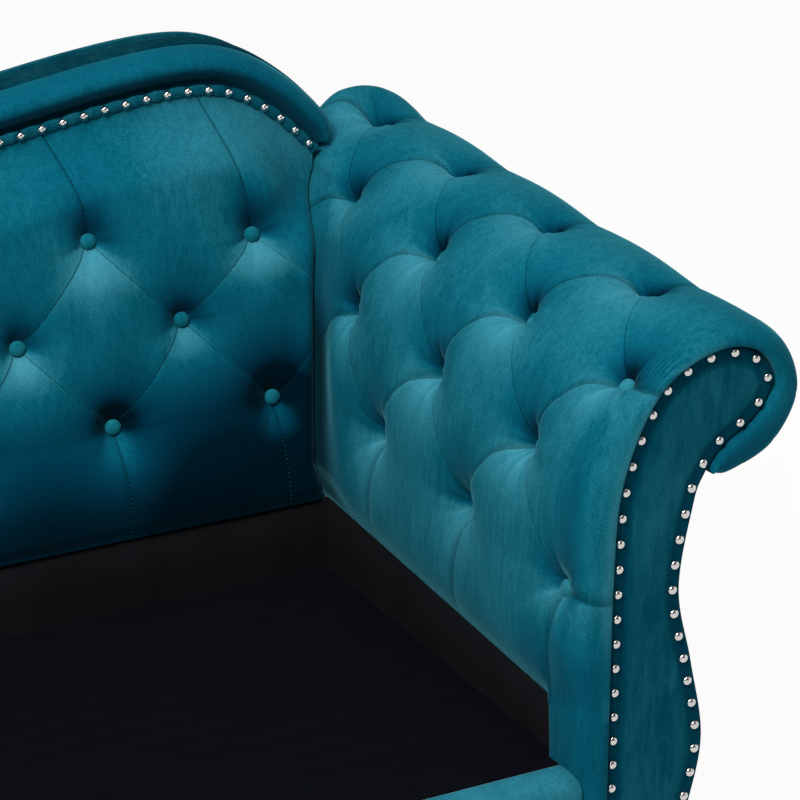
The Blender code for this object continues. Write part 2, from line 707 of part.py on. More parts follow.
def back_pad_spot(column, share, row):
    """A point of the back pad's face, in distances from the centre plane, the lining and the deck."""
    count, pitch = back_columns()
    last, top = count - 1, len(BACK_ROW_HEIGHTS) - 1
    x = abs(column) * pitch / 2
    z = back_pad_outline(x, row)
    if share:
        seat = (last + SEAT_EDGE) * pitch / 2
        line_end = crest_curve()[-1][0] - 0.003
        low_z = back_pad_outline(HALF, min(row, top))
        x = seat + (min(back_pad_edge(low_z), line_end) - seat) * share
        z = back_pad_outline(x, min(row, top))
        if row > top:
            rise = (back_pad_outline(seat, row) - back_row_height(top, seat))
            rise /= back_pad_outline(seat, top + 1.0) - back_row_height(top, seat)
            goal = seat + (line_end - seat) * share
            x += (goal - x) * rise
            z += (crest_height(goal) - PAD_TOP_GAP - z) * rise
    depth = BACK_TUFT_DEPTH * tuft(row, column + last, top + 1)
    y = raked(z, CROWN_SETBACK) + depth
    if row == -1.0:
        y = GAP
    if row >= top + 0.85:
        y = CREST_NAIL_Y
    if share == 1.0:
        y = max(y, raked(z, CROWN_SETBACK) + PAD_SIDE_DRAW)
    return math.copysign(x, column), y, z


def back_pad(finish):
    """The buttoned pad of the inside back."""
    columns, rows = back_lattice(), back_rows()
    spots = [[back_pad_spot(column, share, row) for row in rows] for column, share in columns]
    count, ring = len(columns), len(rows)
    points = [middle(*spot) for line in spots for spot in line]
    phase = back_columns()[0] - 1

    def slope(i, j):
        """Cells split along the creases, which turn at each button row and column."""
        column = math.floor((columns[i][0] + columns[i + 1][0]) / 2)
        return (column + phase + math.floor((rows[j] + rows[j + 1]) / 2)) % 2 == 0
    faces = cell_faces(count, ring, slope)
    border = [(i, 0) for i in range(count)] + [(count - 1, j) for j in range(1, ring)]
    border += [(i, ring - 1) for i in range(count - 2, -1, -1)] + [(0, j) for j in range(ring - 2, 0, -1)]
    start, size = len(points), len(border)
    for k, (i, j) in enumerate(border):
        x, _y, z = spots[i][j]
        points.append(middle(x, raked(z, PAD_REAR_SETBACK), z))
        m, n = border[(k + 1) % size]
        faces.append((i * ring + j, m * ring + n, start + (k + 1) % size, start + k))
    faces.append(tuple(range(start, start + size)))
    made = add_mesh("back_tufted_pad", points, faces, finish, 180)
    unite(made, back_buttons())
    return made


def back_buttons():
    """Covered buttons in the dimples of the back."""
    count, pitch = back_columns()
    lean = np.array([0.0, -1.0, RAKE])
    solids = []
    for row in range(len(BACK_ROW_HEIGHTS)):
        for column in range(-count + 1, count):
            if (row + column + count - 1) % 2:
                continue
            x = column * pitch / 2
            z = back_row_height(row, x)
            solids.append(button(middle(x, raked(z, CROWN_SETBACK) + BACK_TUFT_DEPTH, z), lean))
    return solids


def rib_places():
    """Distances of the back ribs from the sofa's centre plane."""
    outer = HALF - RIB_MARGIN
    return [-outer, -outer / 3, outer / 3, outer]


def back_rib(number, x, finish):
    """A shaped upright between the seat's back rail and the crest, with a raked front."""
    left, right = x - RIB_THICKNESS / 2, x + RIB_THICKNESS / 2
    top = min(crest_height(edge, -CREST_RAIL_DROP) for edge in (left, right)) - 2 * GAP
    front = raked(top, RIB_SETBACK)
    low = BASE + REAR_RAIL_RISE + GAP
    heel = LINING_THICKNESS + GAP + RAIL_THICKNESS + GAP
    outline = [(heel, low), (heel, TACK_TOP), (raked(TACK_TOP, RIB_SETBACK), TACK_TOP),
               (front, top), (BOARD_REAR, top), (BOARD_REAR, low)]
    sections = [[middle(edge, y, z) for y, z in outline] for edge in (left, right)]
    return add_mesh(f"back_rib_{number}", *loft(sections), finish)


def back_webbing(finish):
    """Straps woven across the ribs and up between them, which carry the back pad."""
    ribs = rib_places()
    reach = ribs[-1] + RIB_THICKNESS / 2
    uprights = [(low + high) / 2 for low, high in zip(ribs, ribs[1:])]
    levels = np.linspace(WEB_LOW, WEB_HIGH, WEB_COUNT)
    half = WEB_WIDTH / 2
    xs = sorted([-reach, reach] + [x + side * half for x in uprights for side in (-1, 1)])
    zs = sorted(z + side * half for z in levels for side in (-1, 1))

    def strapped(i, j):
        """Whether a cell of the grid lies on a strap."""
        return 0 <= i < len(xs) - 1 and 0 <= j < len(zs) - 1 and (i % 2 == 1 or j % 2 == 0)
    points = []
    for setback in (GAP, GAP + WEB_THICKNESS):
        points += [middle(x, raked(z, PAD_REAR_SETBACK + setback), z) for x in xs for z in zs]
    rear = len(xs) * len(zs)
    faces = []
    for i in range(len(xs) - 1):
        for j in range(len(zs) - 1):
            if not strapped(i, j):
                continue
            a, b = i * len(zs) + j, i * len(zs) + j + 1
            c, d = b + len(zs), a + len(zs)
            faces += [(a, b, c, d), (rear + a, rear + d, rear + c, rear + b)]
            edges = {(i - 1, j): (a, b), (i + 1, j): (c, d), (i, j - 1): (d, a), (i, j + 1): (b, c)}
            faces += [(p, q, rear + q, rear + p) for cell, (p, q) in edges.items() if not strapped(*cell)]
    return add_mesh("back_webbing", points, faces, finish)


def outer_back(finish):
    """The flat velvet panel of the outside back, cut round the arms and under the crest."""
    curve = crest_curve()
    top = curve + left_normals(curve) * (band_rise()[:, None] - 0.003)
    top = top[1:-1]
    heights = np.linspace(TACK_TOP, top[-1][1] - 0.02, 12)
    foot = HALF + SCROLL_FOOT_IN - 2 * GAP
    right = [(foot, BASE), (foot, TACK_TOP)]
    right += [(min(back_pad_edge(max(z, 2 * LINING_RISE)), top[-1][0]), z) for z in heights]
    outline = right + [tuple(spot) for spot in top[::-1]] + [(-x, z) for x, z in right[::-1]]
    sections = [[middle(x, y, z) for x, z in outline] for y in (BOARD_REAR + GAP, PANEL_REAR)]
    return add_mesh("outer_back_panel", *loft(sections), finish, 30)


def deck_slab(name, top_drop, thickness, finish):
    """A flat layer of the seat deck, which rises towards the front."""
    outline = []
    for y, drop in ((DECK_FRONT, top_drop), (-GAP, top_drop),
                    (-GAP, top_drop + thickness), (DECK_FRONT, top_drop + thickness)):
        outline.append((y, -DECK_SLOPE * y - drop))
    reach = HALF - GAP
    sections = [[middle(x, y, z) for y, z in outline] for x in (-reach, reach)]
    return add_mesh(name, *loft(sections), finish)


def spring_height(y):
    """Height of a spring's wire under the deck pad."""
    return -DECK_SLOPE * y - DECK_PAD - DECK_CLOTH - SPRING_WIRE - 3 * GAP


def seat_spring(x):
    """One zigzag spring from the back rail to the front rail, under the deck pad."""
    start = LINING_THICKNESS + GAP + SPRING_END
    stop = DECK_FRONT + SPRING_WIRE
    count = SPRING_TURNS * SPRING_BENDS
    path = []
    for k in range(count + 1):
        y = start + (stop - start) * k / count
        swing = math.sin(2 * math.pi * k / SPRING_BENDS) * SPRING_SWING
        path.append((x + swing, y, spring_height(y)))
    rings = []
    for k, (px, py, pz) in enumerate(path):
        near, far = path[max(k - 1, 0)], path[min(k + 1, count)]
        run = np.array([far[0] - near[0], far[1] - near[1]])
        across = np.array([run[1], -run[0]]) / np.linalg.norm(run)
        rings.append([middle(px + across[0] * SPRING_WIRE * a, py + across[1] * SPRING_WIRE * a,
                             pz + SPRING_WIRE * b) for a, b in ((1, 0), (0, 1), (-1, 0), (0, -1))])
    return loft(rings)


def seat_springs(finish):
    """The row of zigzag springs, with the tie wires that cross them."""
    pitch = INNER_WIDTH / SPRING_COUNT
    places = [(k - (SPRING_COUNT - 1) / 2) * pitch for k in range(SPRING_COUNT)]
    made = add_mesh("seat_springs", *join_solids([seat_spring(x) for x in places]), finish, 60)
    reach = places[-1] + SPRING_SWING + 2 * SPRING_WIRE
    ties = []
    for y in SPRING_TIES:
        z = spring_height(y) - SPRING_WIRE / 2
        ties.append(box(middle(-reach, y - SPRING_WIRE, z - SPRING_WIRE), middle(reach, y + SPRING_WIRE, z)))
    unite(made, ties)
    return made


def corner_block(name, side, y, turn, finish):
    """A triangular block in one corner of the seat frame."""
    high = RAIL_TOP - CORNER_BLOCK_DROP
    edge = LINING_THICKNESS
    ring = [(edge, y), (edge - CORNER_BLOCK_LEG, y), (edge, y + turn * CORNER_BLOCK_LEG)]
    sections = [[place((px, py, z), side) for px, py in ring] for z in (high - CORNER_BLOCK_RISE, high)]
    return add_mesh(name, *loft(sections), finish)


def turned(profile, centre, sides):
    """A turned solid from (radius, height) points, bottom first, with flat ends."""
    rings = []
    for radius, z in profile:
        rings.append([(centre[0] + radius * math.cos(2 * math.pi * k / sides),
                       centre[1] + radius * math.sin(2 * math.pi * k / sides), z) for k in range(sides)])
    return loft(rings)


def leg_places():
    """Centres of the four legs under the side rails, by name."""
    x = HALF + LEG_X
    front = FRONT_RAIL_BACK + LEG_FRONT_SETBACK + BACK_PLANE
    rear = BOARD_REAR - LEG_REAR_SETBACK + BACK_PLANE
    return {"front_left_leg": (-x, front), "front_right_leg": (x, front),
            "rear_left_leg": (-x, rear), "rear_right_leg": (x, rear)}


def leg(name, centre, finish):
    """A turned leg: slim foot, swelling body, neck and a flat collar under the frame."""
    top = BASE_CLEARANCE - GAP
    run = top
    shape = [(LEG_FOOT_RADIUS, 0.0)]
    body = [0.15 + 0.5 * k / 4 for k in range(5)]
    swell = LEG_RADIUS * 0.93 - LEG_FOOT_RADIUS
    shape += [(LEG_FOOT_RADIUS + swell * math.sin(math.pi / 2 * (s - 0.15) / 0.5)**0.9, s) for s in body]
    shape += [(LEG_RADIUS * 0.85, 0.74), (LEG_RADIUS * 0.66, 0.79), (LEG_RADIUS * 0.66, 0.83),
              (LEG_RADIUS, 0.88), (LEG_RADIUS, 1.0)]
    made = add_mesh(name, *turned([(r, run * s) for r, s in shape], centre, LEG_SIDES), finish, 35)
    bore(made, centre, top - BOLT_IN_LEG - GAP, top + 0.01)
    return made


def bore(target, centre, low, high):
    """Cuts the clearance hole of a hanger bolt."""
    radius = BOLT_RADIUS + GAP
    cutter = add_mesh(target.name + "_bore", *turned([(radius, low), (radius, high)], centre, 12),
                      target.data.materials[0])
    cutter.hide_render = True
    cutter.display_type = "WIRE"
    cut = target.modifiers.new("bolt hole", "BOOLEAN")
    cut.operation = "DIFFERENCE"
    cut.object = cutter


def leg_bolt(name, centre, finish):
    """The hanger bolt between one leg and its side rail."""
    low, high = BASE_CLEARANCE - GAP - BOLT_IN_LEG, BASE_CLEARANCE + BOLT_IN_RAIL
    return add_mesh(name, *turned([(BOLT_RADIUS, low), (BOLT_RADIUS, high)], centre, 12), finish, 40)


def build_arm(side, velvet, lining, timber, board):
    """Every piece of one arm."""
    boxes = arm_boxes(side)
    finishes = {"arm_lining_strip": lining}
    for name, (low, high) in boxes.items():
        made = corner_box(side_name(side, name), side, low, high, finishes.get(name, timber))
        if name == "side_seat_rail":
            for centre in leg_places().values():
                if centre[0] * side > 0:
                    bore(made, centre, BASE_CLEARANCE - 0.01, BASE_CLEARANCE + BOLT_IN_RAIL + GAP)
    front, rear = BOARD_FRONT, BOARD_REAR
    scroll_board(side_name(side, "arm_front_board"), side, front, front + BOARD_THICKNESS, BOARD_INSET, timber)
    scroll_board(side_name(side, "arm_rear_board"), side, rear - BOARD_THICKNESS, rear, BOARD_INSET, timber)
    panel = scroll_board(side_name(side, "arm_front_panel"), side, PANEL_FRONT, front - GAP, 0.0, velvet,
                         PANEL_EDGE_ROUND)
    unite(panel, arm_nails(side))
    scroll_board(side_name(side, "arm_rear_panel"), side, PANEL_REAR, rear + GAP, 0.0, velvet, PANEL_EDGE_ROUND)
    under = BOARD_INSET - GAP
    strip_along_arm(side_name(side, "arm_former"), side,
                    scroll_curve(0, FORMER_END, under - FORMER_THICKNESS),
                    scroll_curve(0, FORMER_END, under), front, rear, board)
    strip_along_arm(side_name(side, "outer_arm_panel"), side,
                    scroll_curve(OUTER_COVER_START, SCROLL_LAST, 0.0),
                    scroll_curve(OUTER_COVER_START, SCROLL_LAST, OUTER_COVER), front, rear, velvet)
    arm_pad(side, velvet)
    arm_post_cover(side, velvet)


def build_seat(velvet, lining, timber, felt, metal):
    """The seat frame, its springs and its deck."""
    inside = HALF + LINING_THICKNESS
    board_edge = HALF + BOARD_INNER - GAP
    dust = HALF + LEG_X - LEG_RADIUS - DUST_MARGIN / 5
    back_low, back_high = LINING_THICKNESS + GAP, LINING_THICKNESS + GAP + RAIL_THICKNESS
    back_top = -DECK_PAD - DECK_CLOTH - 2 * SPRING_WIRE - 4 * GAP - DECK_SLOPE * (back_low + SPRING_END)
    boxes = {
        "front_seat_rail": ((-board_edge, FRONT_RAIL_FRONT, BASE), (board_edge, FRONT_RAIL_BACK, FRONT_RAIL_TOP)),
        "back_seat_rail": ((-inside, back_low, BASE), (inside, back_high, back_top)),
        "rear_base_rail": ((-inside, BOARD_REAR - REAR_RAIL_THICKNESS, BASE),
                           (inside, BOARD_REAR, BASE + REAR_RAIL_RISE)),
        "centre_stretcher": ((-STRETCHER_WIDTH / 2, FRONT_RAIL_BACK + GAP, BASE),
                             (STRETCHER_WIDTH / 2, back_low - GAP, BASE + STRETCHER_RISE)),
        "back_tack_rail": ((-inside, back_low, TACK_TOP - TACK_RAIL_RISE), (inside, back_high, TACK_TOP)),
        "back_lining_strip": ((-HALF + GAP, 0.0, -LINING_DROP), (HALF - GAP, LINING_THICKNESS, LINING_RISE)),
        "dust_cover": ((-dust, FRONT_RAIL_FRONT + DUST_MARGIN, BASE - GAP - DUST_COVER),
                       (dust, BOARD_REAR - DUST_MARGIN, BASE - GAP)),
    }
    finishes = {"back_lining_strip": lining, "dust_cover": lining}
    for name, (low, high) in boxes.items():
        add_mesh(name, *box(middle(*low), middle(*high)), finishes.get(name, timber))
    deck_slab("deck_cloth", 0.0, DECK_CLOTH, lining)
    deck_slab("deck_pad", DECK_CLOTH + GAP, DECK_PAD, felt)
    seat_springs(metal)
    for side in (-1, 1):
        corner_block(side_name(side, "front_corner_block"), side, FRONT_RAIL_BACK + GAP, 1, timber)
        corner_block(side_name(side, "back_corner_block"), side, LINING_THICKNESS, -1, timber)
    front_rail_cover(velvet)


def build_back(velvet, timber, web):
    """The back's ribs, webbing, pad, panel and crest."""
    for number, x in enumerate(rib_places(), start=1):
        back_rib(number, x, timber)
    back_webbing(web)
    back_pad(velvet)
    outer_back(velvet)
    crest_loft("crest_rail", crest_rail_profile, timber, 30, CREST_RAIL_SKIP_COUNT)
    crest_loft("crest_border", crest_border_profile, velvet, 50)
    unite(crest_loft("crest_gimp", gimp_profile, velvet, 30), crest_nails())


def main():
    """Clears the scene and makes the sofa."""
    for old in list(bpy.data.objects):
        bpy.data.objects.remove(old, do_unlink=True)
    velvet = material("teal velvet", (0.008, 0.105, 0.145), 0.75)
    lining = material("black lining cloth", (0.010, 0.011, 0.014), 0.9)
    timber = material("pine", (0.62, 0.45, 0.28), 0.7)
    board = material("hardboard", (0.32, 0.20, 0.11), 0.8)
    felt = material("grey felt", (0.25, 0.25, 0.26), 0.95)
    web = material("webbing", (0.10, 0.09, 0.08), 0.9)
    steel = material("spring steel", (0.35, 0.36, 0.38), 0.4, 1.0)
    stain = material("dark stained beech", (0.035, 0.018, 0.011), 0.35)
    build_seat(velvet, lining, timber, felt, steel)
    build_back(velvet, timber, web)
    for side in (-1, 1):
        build_arm(side, velvet, lining, timber, board)
    for name, centre in leg_places().items():
        leg(name, centre, stain)
        leg_bolt(name + "_bolt", centre, steel)


main()
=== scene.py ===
"""Looks of the tufted velvet sofa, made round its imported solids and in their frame.

Metres, +Z up, front towards -Y. Most sizes are read from the inside corner of the seat: X
outwards from the arm's lining, Y backwards from the back's lining, Z upwards from the deck.
place() turns such points into the sofa's own frame.
"""
import json
import math

import bmesh
import bpy
import numpy as np
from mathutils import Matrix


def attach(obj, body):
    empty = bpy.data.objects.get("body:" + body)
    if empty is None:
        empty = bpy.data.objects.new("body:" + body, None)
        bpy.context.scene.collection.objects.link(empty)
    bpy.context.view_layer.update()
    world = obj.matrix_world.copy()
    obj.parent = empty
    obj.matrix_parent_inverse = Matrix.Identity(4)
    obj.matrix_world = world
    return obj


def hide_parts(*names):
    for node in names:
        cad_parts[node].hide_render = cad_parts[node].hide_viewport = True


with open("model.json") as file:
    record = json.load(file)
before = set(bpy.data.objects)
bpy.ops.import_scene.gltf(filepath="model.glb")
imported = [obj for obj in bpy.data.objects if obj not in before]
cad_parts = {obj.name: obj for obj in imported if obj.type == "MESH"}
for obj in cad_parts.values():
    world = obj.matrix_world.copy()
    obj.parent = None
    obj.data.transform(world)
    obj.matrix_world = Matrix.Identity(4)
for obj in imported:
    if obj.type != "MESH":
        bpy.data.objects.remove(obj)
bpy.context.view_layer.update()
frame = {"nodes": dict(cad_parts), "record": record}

# Sizes that the solids have too
HALF = 0.55
BACK_PLANE = 0.18075
DECK_HEIGHT = 0.265
BASE = -0.155
SEAT_DEPTH = 0.552
BOARD_FRONT = -0.5985
BOARD_REAR = 0.237
BOARD_INSET = 0.014
LINING_RISE = 0.0922
LINING_THICKNESS = 0.003
POST_FACE = -0.0105
DECK_SLOPE = 0.055
DECK_FRONT = -0.576
DECK_CLOTH = 0.0015
PANEL_THICKNESS = 0.011
GAP = 0.0003

# Cloths of the seat
DECK_SIDE_GAP = 0.0008
LINING_TUCK = 0.016
LINING_END_GAP = 0.0005
# Flat sizes of the lining strips
LINING_WIDTH = 0.108
ARM_LINING_LENGTH = 0.551
BACK_LINING_LENGTH = 1.099
RAIL_FACE = -0.6163
RAIL_INSIDE = -0.5923
RAIL_COVER_FOOT = 0.0095
RAIL_END_GAP = 0.0005
# Nose of the rail's cover, by the deck's front edge and by the rail's face: depth from there, height
RAIL_NOSE_INSIDE = [(-GAP, -0.006), (-0.0012, -0.0010), (-0.010, 0.0012)]
RAIL_NOSE_FACE = [(0.0163, -0.0005), (0.0058, -0.0065), (0.0008, -0.0175), (0.0, -0.040)]
POST_DRAW = 0.003
POST_REAR = -SEAT_DEPTH - 0.0010
# Shares of the way out to its face with which the post's cover turns from the lining
POST_TURN = [0.35, 0.80, 0.97]
DECK_WAVE = 0.0010
DECK_SAG = 0.0004
LINING_EASE = 0.0008
# Faint waves of the plain pieces: size, pace along the piece and start
POST_WAVES = [(0.0010, 31, 0.6)]
RAIL_WAVES = [(0.0006, 17, 0.0), (0.0005, 41, 1.0)]
LINING_WAVES = [(0.0005, 23, 1.3), (0.0003, 61, 0.0)]

# Scroll arm: crown of the pad and edge of the front panel, point for point
ROLL_CENTRE = (0.162, 0.413)
ROLL_TURNS = [(90, 0.089), (45, 0.089), (0, 0.0865), (-45, 0.0815), (-88, 0.0795)]
CROWN_SIDE = [(0.002, 0.0925), (-0.017, 0.135), (-0.018, 0.245), (-0.006, 0.335),
              (0.018, 0.402), (0.052, 0.452), (0.099, 0.4875)]
CROWN_END = (0.1400, 0.3440)
SCROLL_EDGE = [(0.0295, 0.0925), (0.0295, 0.135), (0.0300, 0.245), (0.034, 0.335),
               (0.051, 0.398), (0.078, 0.446), (0.110, 0.469), (0.152, 0.479),
               (0.191, 0.4665), (0.2105, 0.433), (0.1905, 0.397), (0.154, 0.3715), (0.1335, 0.344)]
SCROLL_TAIL = [(0.1225, 0.313), (0.1095, 0.222), (0.1275, 0.135), (0.144, 0.045),
               (0.132, -0.031), (0.110, -0.100)]
SCROLL_LAST = len(SCROLL_EDGE) + len(SCROLL_TAIL)
SCROLL_FOOT_IN = 0.0295
SCROLL_FOOT_OUT = 0.102
# After this key point the pad's rim goes only a share of the way along the panel's edge
PAD_END_KEY = 11
PAD_END_SHARE = 0.80
# Inner face of the pad, on its former and under the roll: first and last key point, inset from the edge
PAD_INSIDE = [(0, 10, BOARD_INSET - 0.0042), (10.5, 11.5, -0.0006)]
OUTER_COVER_START = 10.5
OUTER_COVER = 0.0137
# Eased ends of the outer arm's cover: distance from the end, how far it is drawn in
OUTER_COVER_EASE = [(0.0, 0.004), (0.004, 0.001), (0.010, 0.0)]
# Face of a scroll panel: inset from its edge, share of its thickness, painted light level (lower along the
# edge strip and lowest in the nails' trough, as painted shade)
PANEL_STEPS = [(0.0, 0.0, 0.60), (0.0, 0.66, 0.60), (0.0008, 0.84, 0.60), (0.0025, 0.93, 0.58),
               (0.0070, 0.95, 0.50), (0.0110, 0.93, 0.46), (0.0128, 0.93, 0.46), (0.0150, 0.97, 0.56),
               (0.0172, 1.03, 0.70), (0.0205, 1.09, 0.86)]
# Eased edge of the outer back: distance behind the boards, how far it is drawn in and flares
OUTER_BACK_EASE = [(GAP, 0.0, 0.0), (0.007, 0.0, 0.003), (0.0100, 0.0012, 0.005), (0.0113, 0.0040, 0.006)]

# Pad's front and rear lips: share of the crown, reach past the board
LIP_KEYS = [(1.0, -0.030), (0.955, -0.012), (0.83, 0.0050), (0.60, 0.0150), (0.33, 0.0192),
            (0.12, 0.0192), (0.02, 0.0160), (0.0, 0.0098), (0.0, 0.0010)]
LIP_STEPS = (40, 20)
LIP_CLEARANCE = 0.0012

# Tufting of the arms
ARM_HALF_PITCH = 0.1044
ARM_BUTTON_FIRST = 0.171
ARM_ROW_FIRST = 0.137
ARM_ROW_PITCH = 0.120
ARM_ROWS = 4
ARM_LAST_COLUMN = 7
ARM_PHASE = 1
ARM_FUNNEL = 0.036
ARM_FUNNEL_RADIUS = 0.036
ARM_LAST_FUNNEL = 0.64
# Depth of each family of creases, and the powers of its lower and upper edges
ARM_PILLOWS = [(0.0065, 0.24, 0.80), (0.0025, 0.50, 0.50)]
ARM_CREASE = 0.009
ARM_CREASE_REACH = 1.4
ARM_BOW = 0.16
# Rows over which the creases grow shallower on the roll, and by what share
ROLL_ROWS = (1.9, 2.6)
ROLL_CREASE_LOSS = 0.50
# Lengths along the crown between which the seat side ends
SEAT_SIDE_END = (0.38, 0.47)
ARM_LIFT = 0.005
ARM_RIPPLE = 0.0024
ARM_WAVE = 0.0012
ARM_FOOT_FLARE = 0.0026
REAR_PUFF = 0.018
LIP_PLEATS = (0.432, 0.535, 0.590, 0.648, 0.705, 0.752)
LIP_PLEAT_DEPTH = 0.0014
LIP_PLEAT_WIDTH = 0.0026
GATHER_DEPTH = 0.0010
GATHER_AT = 0.410
GATHER_PITCH = 0.0058
ARM_STATIONS = 222
ARM_CROWN_POINTS = 226

# Hollows round the buttons: stretch above and below, and a narrow core with its share of the depth
FUNNEL_STRETCH = (0.85, 1.1)
FUNNEL_POWER = 1.35
FUNNEL_CORE = 0.015
FUNNEL_CORE_SHARE = 0.36
# Ripples that run out from a button: how many go round it, and their share of the depth
RIPPLES = [(7, 1.0), (11, 0.8), (17, 0.5)]
RIPPLE_REACH = 0.020
RIPPLE_DRAWS = 64
# Crease coordinate of a point that is on no crease
OFF_CREASE = 0.5
# Seeds of the random draws
ARM_RIPPLE_SEED, ARM_WAVE_SEED = 11, 5
BACK_RIPPLE_SEED, BACK_WAVE_SEED = 23, 3
DECK_WAVE_SEED = 9

# Tufting of the back
BACK_HALF_PITCH = 0.100
BACK_LAST_COLUMN = 5
BACK_ROW_HEIGHTS = (0.213, 0.318, 0.421)
BACK_ROWS = len(BACK_ROW_HEIGHTS)
BACK_TOP = BACK_ROWS - 1
BACK_END_DROOP = 0.022
BACK_ROW_PITCH = 0.104
BACK_FUNNEL = 0.025
BACK_FUNNEL_RADIUS = 0.042
BACK_PILLOWS = [(0.0026, 0.35, 0.70), (0.0026, 0.70, 0.35)]
BACK_CREASE = 0.0052
BACK_PLEAT_LEAN = 0.27
BACK_PLEAT_BEND = 1.8
BACK_CREASE_REACH = 1.2
BACK_BELLY = 0.014
BACK_FOOT = LINING_RISE + 0.0006
# How far the pad's sides and foot turn back, and over what reach the sides do
BACK_SIDE_TURN = 0.015
BACK_FOOT_TURN = 0.006
BACK_SIDE_REACH = 0.020
BACK_RIPPLE = 0.0012
BACK_WAVE = 0.0010
BACK_POINTS_ACROSS = 370
BACK_POINTS_UP = (46, 84, 50)
RAKE = 0.27
RAKE_LEVEL = 0.100
CROWN_SETBACK = -0.008
PAD_REAR_SETBACK = 0.0575
PAD_SIDE_GAP = 0.0012

# Where the back presses the arm: height over the deck, distance out from the lining
JUNCTION = [(0.0925, -0.001), (0.135, -0.010), (0.245, 0.004), (0.335, 0.017), (0.402, 0.029),
            (0.452, 0.057)]
PRESS_REACH = 0.090
CORNER_DRAW = 0.048
CORNER_HEIGHTS = (0.370, 0.465)

# Crest: distance inwards from the arm's lining, height over the deck
CREST_SHOULDER = [(0.420, 0.524), (0.3135, 0.5405), (0.200, 0.558), (0.110, 0.565),
                  (0.050, 0.556), (-0.005, 0.523), (-0.058, 0.471)]
CREST_DIP = 0.515
CREST_NAIL_Y = 0.1505
CREST_BAND = 0.0485
CREST_BAND_END = 0.0440
CREST_CAP = 0.016
CREST_ROLL_STEPS = 30
CREST_CAP_STEPS = 22
CREST_RAIL_FRONT = 0.190
# Section of its border: share of the rise, distance behind the nail line
CREST_ROLL = [(0.15, 0.0125), (0.30, 0.0050), (0.47, -0.0045), (0.63, -0.0062), (0.80, -0.0010),
              (0.93, 0.0130), (0.965, 0.0290)]
CREST_SEAM = [(0.955, 0.0312), (0.945, 0.0324)]
CREST_TOP = [(0.980, 0.0338), (1.005, 0.0390), (1.005, 0.0520), (0.97, 0.064)]
CREST_TOP_REAR = [(0.88, 0.010), (0.78, 0.001)]  # distance in front of the boards' rear
# Shares of the way to the arms from which it tapers and is tucked in, and how much is tucked
CREST_TAPER_FROM = 0.72
CREST_TUCK_FROM = 0.97
CREST_TUCK = 0.30
CREST_LINE_POINTS = 900
CREST_LINE_END = 0.002
CREST_NAIL_END = 0.010
GIMP_WIDTH = 0.0120
# The gimp's share of that width, and how far its face stands out: at a nail, and the gain between nails
GIMP_SHARE, GIMP_SHARE_GAIN = 0.80, 0.30
GIMP_FACE, GIMP_FACE_GAIN = 0.0022, 0.0016

# Degrees from which an edge stays sharp, on most pieces
SHARP_FROM = 50

# Small parts
BUTTON_RADIUS = 0.0097
BUTTON_HEIGHT = 0.0070
# How far the buttons stand off the bottoms of their hollows, and the arms' buttons turn to the front
ARM_BUTTON_PROUD = 0.005
BACK_BUTTON_PROUD = 0.0065
ARM_BUTTON_TURN = 0.10
# A direction that no button faces
ASKEW = (0.05, 0.31, 0.95)
# Shares of a button's radius and height, from the pad up
BUTTON_PROFILE = [(0.80, -0.55), (0.97, -0.15), (1.0, 0.12), (0.97, 0.36), (0.88, 0.60), (0.70, 0.82),
                  (0.42, 0.95), (0.12, 1.0)]
NAIL_RADIUS = 0.0054
NAIL_HEIGHT = 0.0046
ARM_NAIL_PITCH = 0.028
CREST_NAIL_PITCH = 0.0255
# Middles of the domes: share of the arm panel's thickness, and distance in front of the crest's nail line
ARM_NAIL_SEAT = 0.95
CREST_NAIL_SEAT = 0.0026
NAIL_INSET = 0.0060
NAIL_INSET_OUTSIDE = 0.0098
STITCH_PITCH = 0.0052
STITCH_LENGTH = 0.0034
STITCH_RADIUS = 0.00042
STITCH_PROUD = 0.0006
# Stitched shares of the diamonds' sides, and of the pleats below and above them
SIDE_STITCHED = (0.10, 0.90)
LOW_PLEAT_STITCHED = (-0.12, -0.97)
HIGH_PLEAT_STITCHED = (0.12, 0.86)
LEG_X = 0.02325
LEG_YS = {"front": -0.532, "rear": 0.192}
LEG_RADIUS = 0.030
LEG_FOOT_RADIUS = 0.015
LEG_HEIGHT = 0.1097
# Shares of its height between which a leg swells
LEG_SWELL = (0.15, 0.65)
# Shares of a leg's radius and height, from below its neck up
LEG_COLLAR = [(0.85, 0.74), (0.70, 0.775), (0.66, 0.79), (0.66, 0.83), (0.74, 0.842), (0.96, 0.862),
              (1.0, 0.88), (1.0, 0.985), (0.97, 1.0)]

# Painted light level of the velvet: 0 in full painted shade, the plain level on a plain piece, over 1 where
# a painted highlight makes it pale
PLAIN_PAINTED_LIGHT = 0.84
POST_PAINTED_LIGHT = 0.62
HIDDEN_ARM_PAINTED_LIGHT = 0.8
HIDDEN_BACK_PAINTED_LIGHT = 0.5
ARM_BUTTON_PAINTED_LIGHT = 1.10
RAIL_PAINTED_LIGHT = 1.04
BORDER_FOOT_PAINTED_LIGHT = 0.42
BORDER_ROLL_PAINTED_LIGHT = 0.65
BORDER_TOP_PAINTED_LIGHT = 0.8
ARM_PAINTED_LIGHT = 0.90
ARM_PAINTED_LIGHT_SWING = 0.56
BACK_PAINTED_LIGHT = 0.82
BACK_PAINTED_LIGHT_SWING = 0.80
PAINTED_LIGHT_KNEE = 0.4
# Soft spots of painted shade at a button: how far above it, height and width
HOLLOW_SPOT = (0.013, 0.020, 0.021)
PIT_SPOT = (0.010, 0.019, 0.015)
